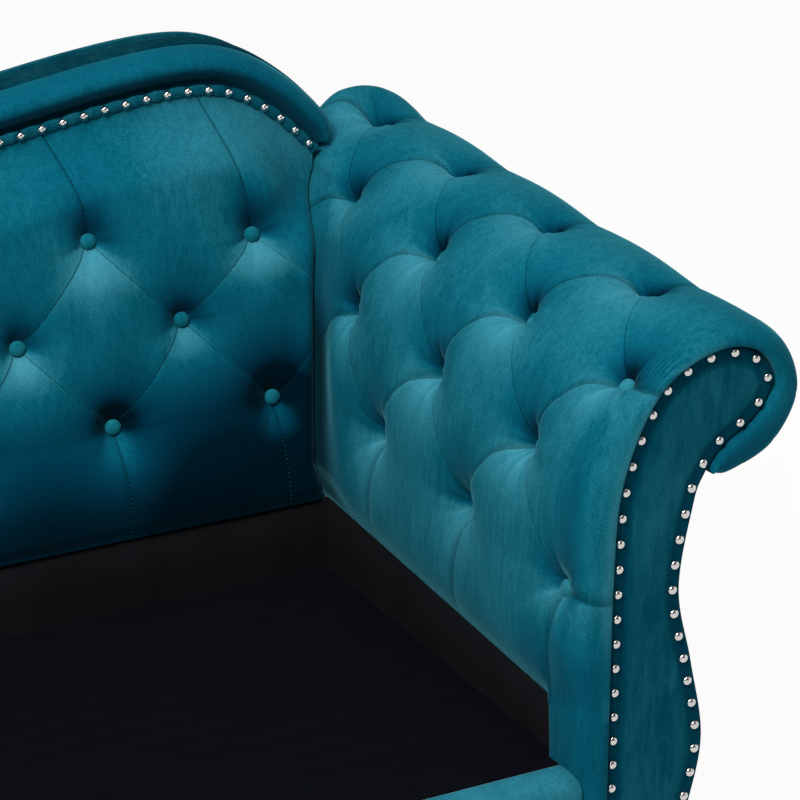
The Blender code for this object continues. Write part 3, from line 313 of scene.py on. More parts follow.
# Painted highlight in a fan below a button: how far below, height, width at the button and how fast it
# widens
FAN_SPOT = (0.028, 0.019, 0.012, 0.5)
FAN_SIZES = (0.68, 0.74, 1.0)  # in the two lowest rows and above them
ARM_FAN = 0.32
BACK_FAN = 1.0
ARM_PIT = 0.55
ARM_RIPPLE_SHADE = 0.20
# Lengths along the crown over which slopes and fans come to count for less in the painted light, hollows
# and pits for more in the painted shade
ARM_SLOPE_FADE = (0.44, 0.56)
ARM_FAN_FADE = (0.42, 0.48)
ARM_HOLLOW_GROWTH = (0.40, 0.46)
ARM_PIT_GROWTH = (0.10, 0.36)
# Painted shade in parts of a pad; below 0 a painted highlight makes it paler there
ARM_PAINTED_SHADES = {"front foot": 0.42, "corner": 0.66, "deep corner": 0.34, "front edge": 0.24,
              "roll's end": 0.12, "hem": 0.28, "gather": 0.22, "gathered": 0.15, "roll's front": 0.12,
              "lip": -0.30}
BACK_PAINTED_SHADES = {"foot": 0.78, "low corner": 0.34, "high corner": -0.30}

# Colours of the velvet
PILE_DEEP = (0.0014, 0.072, 0.106)
PILE_BRIGHT = (0.0042, 0.122, 0.172)
# Colour of the painted highlight where the velvet's light level is high
PAINTED_HIGHLIGHT_PILE = (0.030, 0.150, 0.192)
SHEEN_TINT = (0.15, 0.60, 0.70)

# Camera and light
CAMERA_PLACE = (-0.807, -2.739, 1.864)
CAMERA_YAW = 26.443
CAMERA_PITCH = 23.235
CAMERA_LENS = 135.0
CAMERA_SENSOR = 36.0
# Name, place, aim, size and power of each lamp
LAMPS = [("key", (-1.5, -1.5, 3.3), (0.3, 0.0, 0.5), (1.2, 1.2), 150.0),
         ("top", (0.4, -0.2, 3.4), (0.2, 0.0, 0.4), (2.4, 1.8), 40.0),
         ("fill", (2.6, -1.6, 1.6), (0.3, 0.0, 0.5), (1.4, 1.4), 7.0)]
FLOOR_HALF = 9.0
FLOOR_GLOW = 0.94
SKY_COLOUR = (0.93, 0.96, 1.0)
SKY_STRENGTH = 0.16
WHITE = (1.0, 1.0, 1.0)
# Upward slopes of a reflected ray between which the white backdrop fades in, from none to full
BACKDROP_FADE = (0.40, 0.05)


# Nodes of the finishes

class Socket:
    """A node's output, on which Python's operators add Math nodes."""

    def __init__(self, finish, output):
        self.finish = finish
        self.output = output

    def __add__(self, other):
        return self.finish.math("ADD", self, other)

    def __sub__(self, other):
        return self.finish.math("SUBTRACT", self, other)

    def __rsub__(self, other):
        return self.finish.math("SUBTRACT", other, self)

    def __mul__(self, other):
        return self.finish.math("MULTIPLY", self, other)

    __radd__ = __add__
    __rmul__ = __mul__


class Finish:
    """A material and the nodes that make its look."""

    def __init__(self, name, **constants):
        self.material = bpy.data.materials.new(name)
        self.material.use_nodes = True
        self.tree = self.material.node_tree
        self.shader = self.tree.nodes["Principled BSDF"]
        for socket, value in constants.items():
            self.set(socket.replace("_", " ").title().replace("Ior", "IOR"), value)

    def set(self, socket, value):
        """Gives one of the shader's own sockets a value or a link."""
        self.feed(self.shader.inputs[socket], value)

    def feed(self, socket, value):
        """Links a socket to an output, or sets its number, vector or colour."""
        if isinstance(value, Socket):
            self.tree.links.new(value.output, socket)
        elif hasattr(value, "__len__") and len(value) == 3 and socket.type == "RGBA":
            socket.default_value = (*value, 1.0)
        else:
            socket.default_value = value

    def node(self, kind, settings=None, inputs=None, output=0):
        """Adds a node, sets it up first and then feeds its sockets; returns one output."""
        made = self.tree.nodes.new(kind)
        for name, value in (settings or {}).items():
            if name == "stops":
                self.stops(made.color_ramp, value)
            else:
                setattr(made, name, value)
        for socket, value in (inputs or {}).items():
            self.feed(made.inputs[socket], value)
        return Socket(self, made.outputs[output])

    def math(self, operation, *values, clamp=False):
        """One Math node on its values."""
        settings = {"operation": operation, "use_clamp": clamp}
        return self.node("ShaderNodeMath", settings, dict(enumerate(values)))

    def between(self, value, low, high, top=1.0, kind="LINEAR"):
        """How far a value is on its way from low to high, from 0 up to top."""
        return self.node("ShaderNodeMapRange", {"interpolation_type": kind},
                         {"Value": value, "From Min": low, "From Max": high, "To Max": top})

    def rays(self, kind):
        """1 for one kind of ray and 0 for the others."""
        return self.node("ShaderNodeLightPath", output=kind)

    @staticmethod
    def stops(ramp, stops):
        """Sets a ramp's stops from (position, grey level) pairs."""
        while len(ramp.elements) < len(stops):
            ramp.elements.new(0.5)
        for element, (position, level) in zip(ramp.elements, stops):
            element.position = position
            element.color = (level, level, level, 1.0)

    def places(self, scale=(1, 1, 1)):
        """The piece's own coordinates, stretched."""
        own = self.node("ShaderNodeTexCoord", output="Object")
        return self.node("ShaderNodeMapping", {}, {"Vector": own, "Scale": scale})

    def noise(self, where, scale, detail=3.0, rough=0.55, distortion=0.0):
        """Soft noise from 0 to 1."""
        return self.node("ShaderNodeTexNoise", {}, {"Vector": where, "Scale": scale, "Detail": detail,
                                                    "Roughness": rough, "Distortion": distortion})

    def ramp(self, value, *stops):
        """A value through a ramp of grey levels."""
        return self.node("ShaderNodeValToRGB", {"stops": stops}, {"Fac": value})

    def blend(self, factor, first, second):
        """Mixes two colours."""
        return self.node("ShaderNodeMix", {"data_type": "RGBA"}, {0: factor, 6: first, 7: second}, 2)

    def bump(self, height, strength, distance):
        """A bump that feeds the shader's normal."""
        sizes = {"Height": height, "Strength": strength, "Distance": distance}
        self.set("Normal", self.node("ShaderNodeBump", {}, sizes))


class Surroundings(Finish):
    """The world and its nodes, made as those of a finish are."""

    def __init__(self, name):
        self.world = bpy.data.worlds.new(name)
        self.world.use_nodes = True
        self.tree = self.world.node_tree
        self.shader = self.tree.nodes["Background"]
        bpy.context.scene.world = self.world


# Finishes

def velvet(name, deep, bright, sheen, crushed=1.0, folds=None):
    """Short-pile velvet: brushed patches of nap, fine pile and a soft sheen.

    The pieces carry their painted light and shade in a point value whose name starts with nap. Crushed is
    the depth of the small ripples.
    Folds is how dark the painted shade under a buttoned pad's folds is; a plain piece has none.
    """
    made = Finish(name, roughness=0.85, specular_ior_level=0.0, sheen_weight=sheen, sheen_roughness=0.35,
                  sheen_tint=SHEEN_TINT)
    where = made.places()
    brushed = made.noise(made.places((1.0, 1.0, 0.55)), 11.0, 4.0, 0.6, 0.8)
    streaks = made.noise(made.places((1.0, 1.0, 0.16)), 150.0, 3.0, 0.65, 0.4)
    pile = made.noise(where, 700.0, 2.0, 0.6)
    nap = brushed * 0.36 + streaks * 0.34 + pile * 0.30
    level = made.ramp(nap, (0.39, 0.0), (0.61, 1.0))
    grain = made.ramp(pile, (0.34, 0.0), (0.66, 1.0))
    painted_light_level = made.node("ShaderNodeAttribute", {"attribute_name": "nap"}, output="Fac")
    pale = made.ramp(painted_light_level * 0.625 + (level - 0.5) * 0.10, (0.50, 0.0), (0.90, 1.0))
    # Painted shade turns the colour bluer where the light level is low, and a painted highlight turns it
    # pale where it is high
    shadow = (0.2 * bright[0], 0.74 * bright[1], bright[2])
    plain = made.blend(made.ramp(painted_light_level, (0.15, 1.0), (0.85, 0.0)), made.blend(level, deep, bright), shadow)
    colour = made.blend(pale, plain, PAINTED_HIGHLIGHT_PILE)
    # Painted light and shade scale the colour by the light level, and the pile's grain varies it
    shade = (0.09 + painted_light_level * 1.02) * (0.87 + grain * 0.26)
    # Painted shade along the creases and under the folds
    if folds:
        shade = shade * (1 - crease_painted_shade(made, folds) * 0.66)
    shaded = made.node("ShaderNodeVectorMath", {"operation": "SCALE"}, {0: colour, "Scale": shade})
    made.set("Base Color", shaded)
    made.set("Roughness", 0.92 - level * 0.16)
    ripples = made.noise(where, 70.0, 2.0, 0.5, 0.6)
    made.bump(pile * 0.5 + ripples * crushed, 0.22, 0.0012)
    return made.material


def crease_painted_shade(made, folds):
    """Painted shade in thin lines along a pad's sewn creases, broken up by the stitches, and painted shade
    below the folds.
    """
    lines = made.node("ShaderNodeAttribute", {"attribute_name": "creases"}, output="Vector")
    axes = made.node("ShaderNodeSeparateXYZ", {}, {0: lines})
    ways = [axes, Socket(made, axes.output.node.outputs[1])]
    drawn = []
    for way, other, width in ((ways[0], ways[1], 0.0105), (ways[1], ways[0], 0.0055)):
        apart = made.math("PINGPONG", way, 0.5)
        stitch = made.math("PINGPONG", other * 30.0, 0.5)
        drawn.append(made.between(apart, width, width * 0.3) * (0.65 + stitch * 0.7))
    # Painted shade below each fold
    under = made.between(made.math("FRACT", ways[0]), 0.935, 1.0, folds, "SMOOTHSTEP")
    return made.math("MAXIMUM", made.math("MAXIMUM", *drawn), under, clamp=True)


def lining_cloth(name, colour, light, threads=900.0):
    """Plain woven cloth, its threads drawn as waves across each other."""
    made = Finish(name, roughness=0.9, specular_ior_level=0.03)
    where = made.places()
    sizes = {"Vector": where, "Scale": threads / 6.3, "Distortion": 0.4}
    warp, weft, rise = (made.node("ShaderNodeTexWave", {"bands_direction": way}, sizes) for way in "XYZ")
    weave = (warp + weft + rise) * 0.33
    rub = made.noise(where, 14.0, 4.0, 0.6)
    made.set("Base Color", made.blend(weave * 0.5 + rub * 0.5, colour, light))
    made.set("Roughness", 0.80 + rub * 0.16)
    made.bump(weave, 0.35, 0.0004)
    return made.material


def timber(name, dark, pale, roughness, grain_axis=(9.0, 1.0, 9.0)):
    """Wood with long grain and growth rings."""
    made = Finish(name, roughness=roughness)
    where = made.places(grain_axis)
    sizes = {"Vector": where, "Scale": 3.0, "Distortion": 5.0, "Detail": 3.0, "Detail Scale": 1.5}
    rings = made.node("ShaderNodeTexWave", {"bands_direction": "DIAGONAL"}, sizes)
    fibres = made.noise(made.places(tuple(8 * s for s in grain_axis)), 9.0, 4.0, 0.7)
    grain = rings * 0.55 + fibres * 0.45
    made.set("Base Color", made.blend(grain, dark, pale))
    made.set("Roughness", roughness - 0.08 + grain * 0.16)
    made.bump(grain, 0.15, 0.0005)
    return made.material


def metal(name, colour, roughness, scratch=0.06):
    """Polished or drawn metal with faint handling marks."""
    made = Finish(name, metallic=1.0, roughness=roughness)
    marks = made.noise(made.places(), 260.0, 4.0, 0.7)
    made.set("Base Color", made.blend(marks, tuple(0.9 * c for c in colour), colour))
    made.set("Roughness", roughness + marks * scratch)
    return made.material


def fibrous(name, dark, pale, scale):
    """Pressed felt or hardboard."""
    made = Finish(name, roughness=0.95)
    fibres = made.noise(made.places(), scale, 5.0, 0.75, 0.5)
    made.set("Base Color", made.blend(fibres, dark, pale))
    made.bump(fibres, 0.3, 0.0006)
    return made.material


def make_finishes():
    """Every finish of the sofa, by a maker's name for it."""
    return {
        # The arms' and back's velvets differ only in how dark their painted fold shade is
        "arm": velvet("teal velvet, arms", PILE_DEEP, PILE_BRIGHT, 0.30, folds=0.66),
        "back": velvet("teal velvet, back", PILE_DEEP, PILE_BRIGHT, 0.30, folds=0.16),
        "border": velvet("teal velvet, borders", PILE_DEEP, PILE_BRIGHT, 0.30),
        "panel": velvet("teal velvet, panel", (0.0007, 0.049, 0.075), (0.0020, 0.077, 0.113), 0.22, 0.4),
        # A darker copy of the border velvet for the crest's top strip: painted shade on a face turned away
        # from the lamps
        "crest_top_shade": velvet("teal velvet, crest top in painted shade", (0.0004, 0.019, 0.030), (0.0008, 0.033, 0.048),
                       0.08, 0.4),
        "button": velvet("teal velvet, buttons", (0.0015, 0.085, 0.120), (0.0040, 0.135, 0.180), 0.3),
        "thread": lining_cloth("sewing thread", (0.0020, 0.060, 0.082), (0.005, 0.110, 0.145)),
        "lining": lining_cloth("black lining cloth", (0.0012, 0.0016, 0.0028), (0.0030, 0.0036, 0.0058)),
        # A lighter copy of the black lining cloth for the upright strips: painted light
        "strip": lining_cloth("black lining cloth, painted light", (0.0044, 0.0046, 0.0056), (0.0098, 0.0102, 0.0122)),
        "nickel": metal("polished nickel", (0.62, 0.60, 0.58), 0.06),
        "steel": metal("spring steel", (0.36, 0.37, 0.39), 0.35),
        "leg": timber("dark stained beech", (0.010, 0.005, 0.003), (0.040, 0.019, 0.011), 0.32,
                      (9.0, 9.0, 1.0)),
        "pine": timber("sawn pine", (0.46, 0.30, 0.16), (0.66, 0.49, 0.31), 0.75, (1.0, 9.0, 9.0)),
        "hardboard": fibrous("hardboard", (0.17, 0.10, 0.05), (0.26, 0.16, 0.09), 160.0),
        "felt": fibrous("grey felt", (0.14, 0.14, 0.15), (0.27, 0.27, 0.28), 240.0),
        "webbing": lining_cloth("webbing", (0.030, 0.026, 0.022), (0.075, 0.066, 0.055), 500.0),
    }


# Pieces, faces and curves

def place(points, side=1):
    """Points of the seat's corner frame, in the sofa's frame; side -1 is the left arm."""
    points = np.asarray(points, float)
    return np.stack([side * (HALF + points[..., 0]), points[..., 1] + BACK_PLANE,
                     points[..., 2] + DECK_HEIGHT], axis=-1)


def across(points):
    """Points with X from the sofa's centre plane, in the sofa's frame."""
    return np.asarray(points, float) + (0.0, BACK_PLANE, DECK_HEIGHT)


def word_for(side):
    """The name of a side, seen from the front: -1 is the left."""
    return "right" if side > 0 else "left"


def add_object(name, data):
    """A new object in the scene."""
    made = bpy.data.objects.new(name, data)
    bpy.context.scene.collection.objects.link(made)
    return made


def new_piece(name, points, faces, finish, sharp_from=SHARP_FROM):
    """A named mesh piece with outward faces, smooth apart from edges sharper than an angle."""
    mesh = bpy.data.meshes.new(name)
    mesh.from_pydata(np.asarray(points, float).reshape(-1, 3).tolist(), [], faces)
    shape = bmesh.new()
    shape.from_mesh(mesh)
    bmesh.ops.recalc_face_normals(shape, faces=shape.faces)
    shape.to_mesh(mesh)
    shape.free()
    mesh.shade_smooth()
    mesh.set_sharp_from_angle(angle=math.radians(sharp_from))
    mesh.materials.append(finish)
    return add_object(name, mesh)


def fit(piece, slot, *nodes, fill=None, flat=None, rests_on=()):
    """Lets a piece ride on the sofa and hides the solids that it stands for; a velvet piece with no light
    level yet gets the plain one.
    """
    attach(piece, "root")
    if slot == "teal_velvet" and "nap" not in piece.data.attributes:
        paint_light_level(piece)
    if nodes:
        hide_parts(*nodes)
    return piece


def slope_painted_light(level, swing, rise):
    """Painted light and shade on a pad: a level, and a swing from it on slopes that rise or fall."""
    return level + swing * rise / (PAINTED_LIGHT_KNEE + np.abs(rise))


def shaded(nap, parts, shades):
    """A pad's painted light level, less the painted shade of each of its parts."""
    for part, amount in parts.items():
        nap = nap - shades[part] * amount
    return nap


def paint_light_level(piece, values=PLAIN_PAINTED_LIGHT):
    """Gives a velvet piece its painted light level, one value for each point or one for all."""
    count = len(piece.data.vertices)
    values = np.broadcast_to(np.clip(values, 0, 1.6).ravel(), count)
    painted_light_level = piece.data.attributes.new("nap", "FLOAT", "POINT")
    painted_light_level.data.foreach_set("value", np.ascontiguousarray(values, dtype=np.float32))
    return piece


def sew(piece, creases):
    """Gives a pad the coordinates that are whole numbers on its sewn creases."""
    level = np.zeros(len(piece.data.vertices))
    flat = np.column_stack([np.asarray(creases, float).reshape(-1, 2), level])
    lines = piece.data.attributes.new("creases", "FLOAT_VECTOR", "POINT")
    lines.data.foreach_set("vector", np.ascontiguousarray(flat.ravel(), dtype=np.float32))


def grid_faces(rows, row):
    """Faces of a grid of points, and the numbers of the points round its border in order."""
    faces = [(i * row + j, (i + 1) * row + j, (i + 1) * row + j + 1, i * row + j + 1)
             for i in range(rows - 1) for j in range(row - 1)]
    border = [i * row for i in range(rows)] + [(rows - 1) * row + j for j in range(1, row)]
    border += [i * row + row - 1 for i in range(rows - 2, -1, -1)] + list(range(row - 2, 0, -1))
    return faces, border


def wall_faces(near, far):
    """Faces between two closed rows of points."""
    return list(zip(near, near[1:] + near[:1], far[1:] + far[:1], far))


def tube_faces(rings, ring):
    """Faces of a skin over closed rings, with flat ends."""
    faces = []
    for i in range(rings - 1):
        for j in range(ring):
            k = (j + 1) % ring
            faces.append((i * ring + j, i * ring + k, (i + 1) * ring + k, (i + 1) * ring + j))
    faces.append(tuple(range(ring)))
    faces.append(tuple(range((rings - 1) * ring, rings * ring)))
    return faces


def loft(name, sections, finish, sharp_from=SHARP_FROM):
    """A closed piece over rings of equal length."""
    sections = np.asarray(sections, float)
    return new_piece(name, sections, tube_faces(*sections.shape[:2]), finish, sharp_from)


def smooth_curve(points, knots):
    """Catmull-Rom curve through points, read at knots counted from the first point."""
    points = np.asarray(points, float)
    ends = np.vstack([2 * points[0] - points[1], points, 2 * points[-1] - points[-2]])
    knots = np.clip(np.asarray(knots, float), 0, len(points) - 1)
    index = np.minimum(knots.astype(int), len(points) - 2)
    u = (knots - index)[:, None]
    a, b, c, d = (ends[index + k] for k in range(4))
    square, cube = 2 * a - 5 * b + 4 * c - d, 3 * b - a - 3 * c + d
    return 0.5 * (2 * b + (c - a) * u + square * u**2 + cube * u**3)


def left_normals(curve):
    """Unit normals to the left of a flat curve's direction of travel."""
    run = np.gradient(curve, axis=0)
    run /= np.linalg.norm(run, axis=1)[:, None]
    return np.stack([-run[:, 1], run[:, 0]], axis=1)


def lengths(curve):
    """Length from the start of a curve to each of its points."""
    return np.concatenate([[0], np.cumsum(np.linalg.norm(np.diff(curve, axis=0), axis=1))])


def read_curve(stops, run, curve):
    """Points of a curve at stops, where run is how far along each of its own points lies."""
    return np.stack([np.interp(stops, run, values) for values in curve.T], axis=-1)


def even_points(curve, count, end=0.0):
    """A curve's points at equal steps of its length, stopped short of each of its ends by end."""
    run = lengths(curve)
    return read_curve(np.linspace(end, run[-1] - end, count), run, curve)


def at_depth(curve, depth):
    """Points of a flat (x, z) curve, set at a depth."""
    return np.stack([curve[:, 0], np.full(len(curve), depth), curve[:, 1]], axis=1)


def smoothstep(low, high, value):
    """Rises from 0 to 1 between two values."""
    share = np.clip((np.asarray(value, float) - low) / (high - low), 0, 1)
    return share * share * (3 - 2 * share)


def faint_waves(at, waves):
    """Sum of set waves at a distance along a piece, in metres."""
    return sum(size * math.sin(pace * at + start) for size, pace, start in waves)


def crown_keys():
    """Key points of the arm pad's crown, from the lining up and over the roll."""
    x, z = ROLL_CENTRE
    turns = [(math.radians(angle), radius) for angle, radius in ROLL_TURNS]
    roll = [(x + radius * math.cos(a), z + radius * math.sin(a)) for a, radius in turns]
    return CROWN_SIDE + roll + [CROWN_END]


def scroll_curve(first, last, inset=0.0, steps=24):
    """The scroll's outline between two key points of its edge, moved inwards by inset."""
    keys = [(SCROLL_FOOT_IN, BASE)] + SCROLL_EDGE + SCROLL_TAIL + [(SCROLL_FOOT_OUT, BASE)]
    knots = np.linspace(0, len(keys) - 1, steps * (len(keys) - 1) + 1)
    whole = smooth_curve(keys, knots)
    moved = whole - inset * left_normals(whole)
    moved[[0, -1], 1] = BASE
    return moved[round((first + 1) * steps):round((last + 1) * steps) + 1]


# Tufting of both pads

def edge_profile(share, low, high):
    """Rises from 0 at both ends of a share from 0 to 1 up to 1 between; a small power is a steep end."""
    peak = (low / (low + high))**low * (high / (low + high))**high
    return np.clip(share, 0, 1)**low * np.clip(1 - share, 0, 1)**high / peak


def from_buttons(row, column, rows, columns, pitches):
    """Row and column of each button of a diamond lattice, and how far above and beside it points lie."""
    for r in range(rows):
        for c in range(columns[0], columns[1] + 1):
            if (r + c) % 2 == 0:
                yield r, c, (row - r) * pitches[0], (column - c) * pitches[1]


def soft_spot(up, side, high, wide):
    """A soft spot of a height and a width, 1 in its middle."""
    return np.exp(-(up / high)**2 - (side / wide)**2)


def funnels(row, column, rows, columns, pitches, radius, last=1.0):
    """Depth from 0 to 1 of the hollows round the buttons, drawn out upwards.

    Last is the share of the depth that the last column of buttons has.
    """
    level = np.ones(row.shape)
    for _, c, up, side in from_buttons(row, column, rows, columns, pitches):
        away = np.hypot(np.where(up > 0, *FUNNEL_STRETCH) * up, side)
        sink = (1 - FUNNEL_CORE_SHARE) * np.exp(-(away / radius)**FUNNEL_POWER)
        sink = sink + FUNNEL_CORE_SHARE * np.exp(-(away / FUNNEL_CORE)**2)
        level = level * (1 - sink * (last if c == columns[1] else 1.0))
    return 1 - level


def button_painted_light(row, column, rows, columns, pitches, fan):
    """Painted light round the buttons: below 0 for painted shade in the hollow above each, over 0 for a
    painted highlight in a fan below.
    """
    shade = np.zeros(row.shape)
    above, high, wide = HOLLOW_SPOT
    below, fan_high, fan_wide, widening = FAN_SPOT
    for r, _, up, side in from_buttons(row, column, rows, columns, pitches):
        size = FAN_SIZES[min(r, len(FAN_SIZES) - 1)]
        width = size * (fan_wide - widening * np.minimum(up, 0))
        shade = shade - soft_spot(up - above, side, high, wide)
        shade = shade + fan * size * soft_spot(up + size * below, side, size * fan_high, width)
    return shade


def button_pits(row, column, rows, columns, pitches):
    """Painted shade in the cores of the hollows, from 0 to 1 just above each button."""
    core = np.zeros(row.shape)
    above, high, wide = PIT_SPOT
    for _, _, up, side in from_buttons(row, column, rows, columns, pitches):
        core = np.maximum(core, soft_spot(up - above, side, high, wide))
    return core


def tufting(row, column, rows, columns, pitches, pillows, bow, reaches):
    """Depth in metres of the sewn creases of diamond tufting, and how a pad lies round its buttons.

    Pillows gives each of the two families of creases its depth and the powers of its two edges.
    The first family bows upwards between its buttons. Outside the lattice the creases run straight
    on and fade out over their reaches, counted in rows. Also returns the distance to the nearest
    button, the direction from it, its number, and two coordinates that are whole numbers on creases.
    """
    inside = np.clip(row, 0, rows - 1)
    within = np.clip(column, *columns)
    r = np.minimum(np.floor(inside), rows - 2)
    c = np.minimum(np.floor(within), columns[1] - 1)
    u, v = inside - r, within - c
    turned = (r + c) % 2 == 1
    w = np.where(turned, 1 - v, v)
    far = u + w > 1
    du = np.where(far, u - 1, u) + row - inside
    dv = np.where(far, w - 1, w) * np.where(turned, -1, 1) + column - within
    away = np.hypot(du * pitches[0], dv * pitches[1])
    turn = np.arctan2(du * pitches[0], dv * pitches[1])
    # Each button has a number, by which its ripples are picked
    number = (r + far) * 13 + np.where(turned, c + 1 - far, c + far) * 5
    number = number.astype(int) % RIPPLE_DRAWS
    bowed = bow * (1 - np.cos(np.pi * inside)**2 * np.cos(np.pi * within)**2)
    creases = np.stack([(within - inside + bowed) / 2, (within + inside) / 2], axis=-1)
    depth = 0
    for way, (deep, low, high) in enumerate(pillows):
        depth = depth + deep * (1 - edge_profile(creases[..., way] % 1, low, high))
    # Out past the lattice's corners there are no creases
    past = [np.minimum(np.abs(gap), 1) for gap in (row - inside, column - within)]
    beyond = np.sin(np.pi / 2 * past[0]) * np.sin(np.pi / 2 * past[1])
    depth = depth * (1 - beyond**0.5)
    on_button = 1 - (inside + within) % 2
    creases = creases + 0.5 * (np.minimum(8 * beyond, 1) * on_button)[..., None]
    fade = 1 - np.clip(np.abs(row - inside) / np.where(row < 0, *reaches), 0, 1)**0.8
    return depth * fade, away, turn, number, creases


def button_ripples(away, turn, pick, seed):
    """Small folds that run out from each button and die away, about -1 to 1."""
    phases = np.random.default_rng(seed).uniform(0, 2 * np.pi, (len(RIPPLES), RIPPLE_DRAWS))
    waves = 0
    for (folds, size), phase in zip(RIPPLES, phases):
        waves = waves + size * np.cos(folds * turn + phase[pick])
    return waves * np.exp(-away / RIPPLE_REACH) * smoothstep(0.006, 0.016, away)


def slow_waves(a, b, seed, count=7, size=18.0):
    """Gentle unevenness over two coordinates in metres, about -1 to 1."""
    draws = np.random.default_rng(seed)
    total = np.zeros(np.broadcast(a, b).shape)
    for _ in range(count):
        turn, phase = draws.uniform(0, 2 * np.pi, 2)
        pace = size * draws.uniform(0.6, 1.8)
        total += np.sin(pace * (a * math.cos(turn) + b * math.sin(turn)) + phase)
    return total / count


# Arms

def lip_curve():
    """Shares of the crown and reaches past the board, from the crown round to the panel."""
    body, rim = LIP_STEPS
    knots = np.concatenate([np.linspace(0, 3, body)[:-1], np.linspace(3, len(LIP_KEYS) - 1, rim)])
    return smooth_curve(LIP_KEYS, knots)


def arm_crown(count):
    """The crown's points at even steps, their outward normals, and the edge point for each."""
    keys = crown_keys()
    fine = np.linspace(0, len(keys) - 1, 2400)
    curve = smooth_curve(keys, fine)
    run = lengths(curve)
    stops = np.linspace(0, run[-1], count)
    knots = np.interp(stops, run, fine)
    crown = smooth_curve(keys, knots)
    edge_keys = [(SCROLL_FOOT_IN, BASE)] + SCROLL_EDGE + SCROLL_TAIL
    past = np.maximum(knots - PAD_END_KEY, 0)
    edge = smooth_curve(edge_keys, np.minimum(knots, PAD_END_KEY) + PAD_END_SHARE * past + 1)
    edge = edge + left_normals(edge) * LIP_CLEARANCE
    return stops, crown, left_normals(crown), edge


def front_hem(y):
    """Share by which the pad hangs straight at its foot, in front of the lining's end."""
    return smoothstep(-SEAT_DEPTH + 0.012, -SEAT_DEPTH - 0.004, y)


def junction_x(height):
    """How far out the arm lies where the back presses it."""
    heights, reaches = zip(*JUNCTION)
    return np.interp(height, heights, reaches)


def lip_pleats(y, run):
    """Short folds where the pad is gathered over its front edge, in metres."""
    front = smoothstep(BOARD_FRONT - 0.001, BOARD_FRONT - 0.013, y)
    folds = sum(np.exp(-((run - at) / LIP_PLEAT_WIDTH)**2) for at in LIP_PLEATS)
    return LIP_PLEAT_DEPTH * front * folds + GATHER_DEPTH * gathers(y, run)


def gathers(y, run):
    """Fine ripples between the roll's last button and the front panel, from -1 to 1."""
    zone = smoothstep(BOARD_FRONT + 0.034, BOARD_FRONT + 0.020, y)
    zone = zone * np.exp(-((run - GATHER_AT) / 0.019)**2)
    return zone * np.sin(2 * np.pi * y / GATHER_PITCH + 60 * (run - GATHER_AT))


def rear_puff(y, run):
    """Where the roll swells behind its last button, from 0 to 1."""
    along = smoothstep(0.170, 0.225, y) * smoothstep(0.275, 0.245, y)
    return along * smoothstep(0.425, 0.480, run) * smoothstep(0.60, 0.51, run)


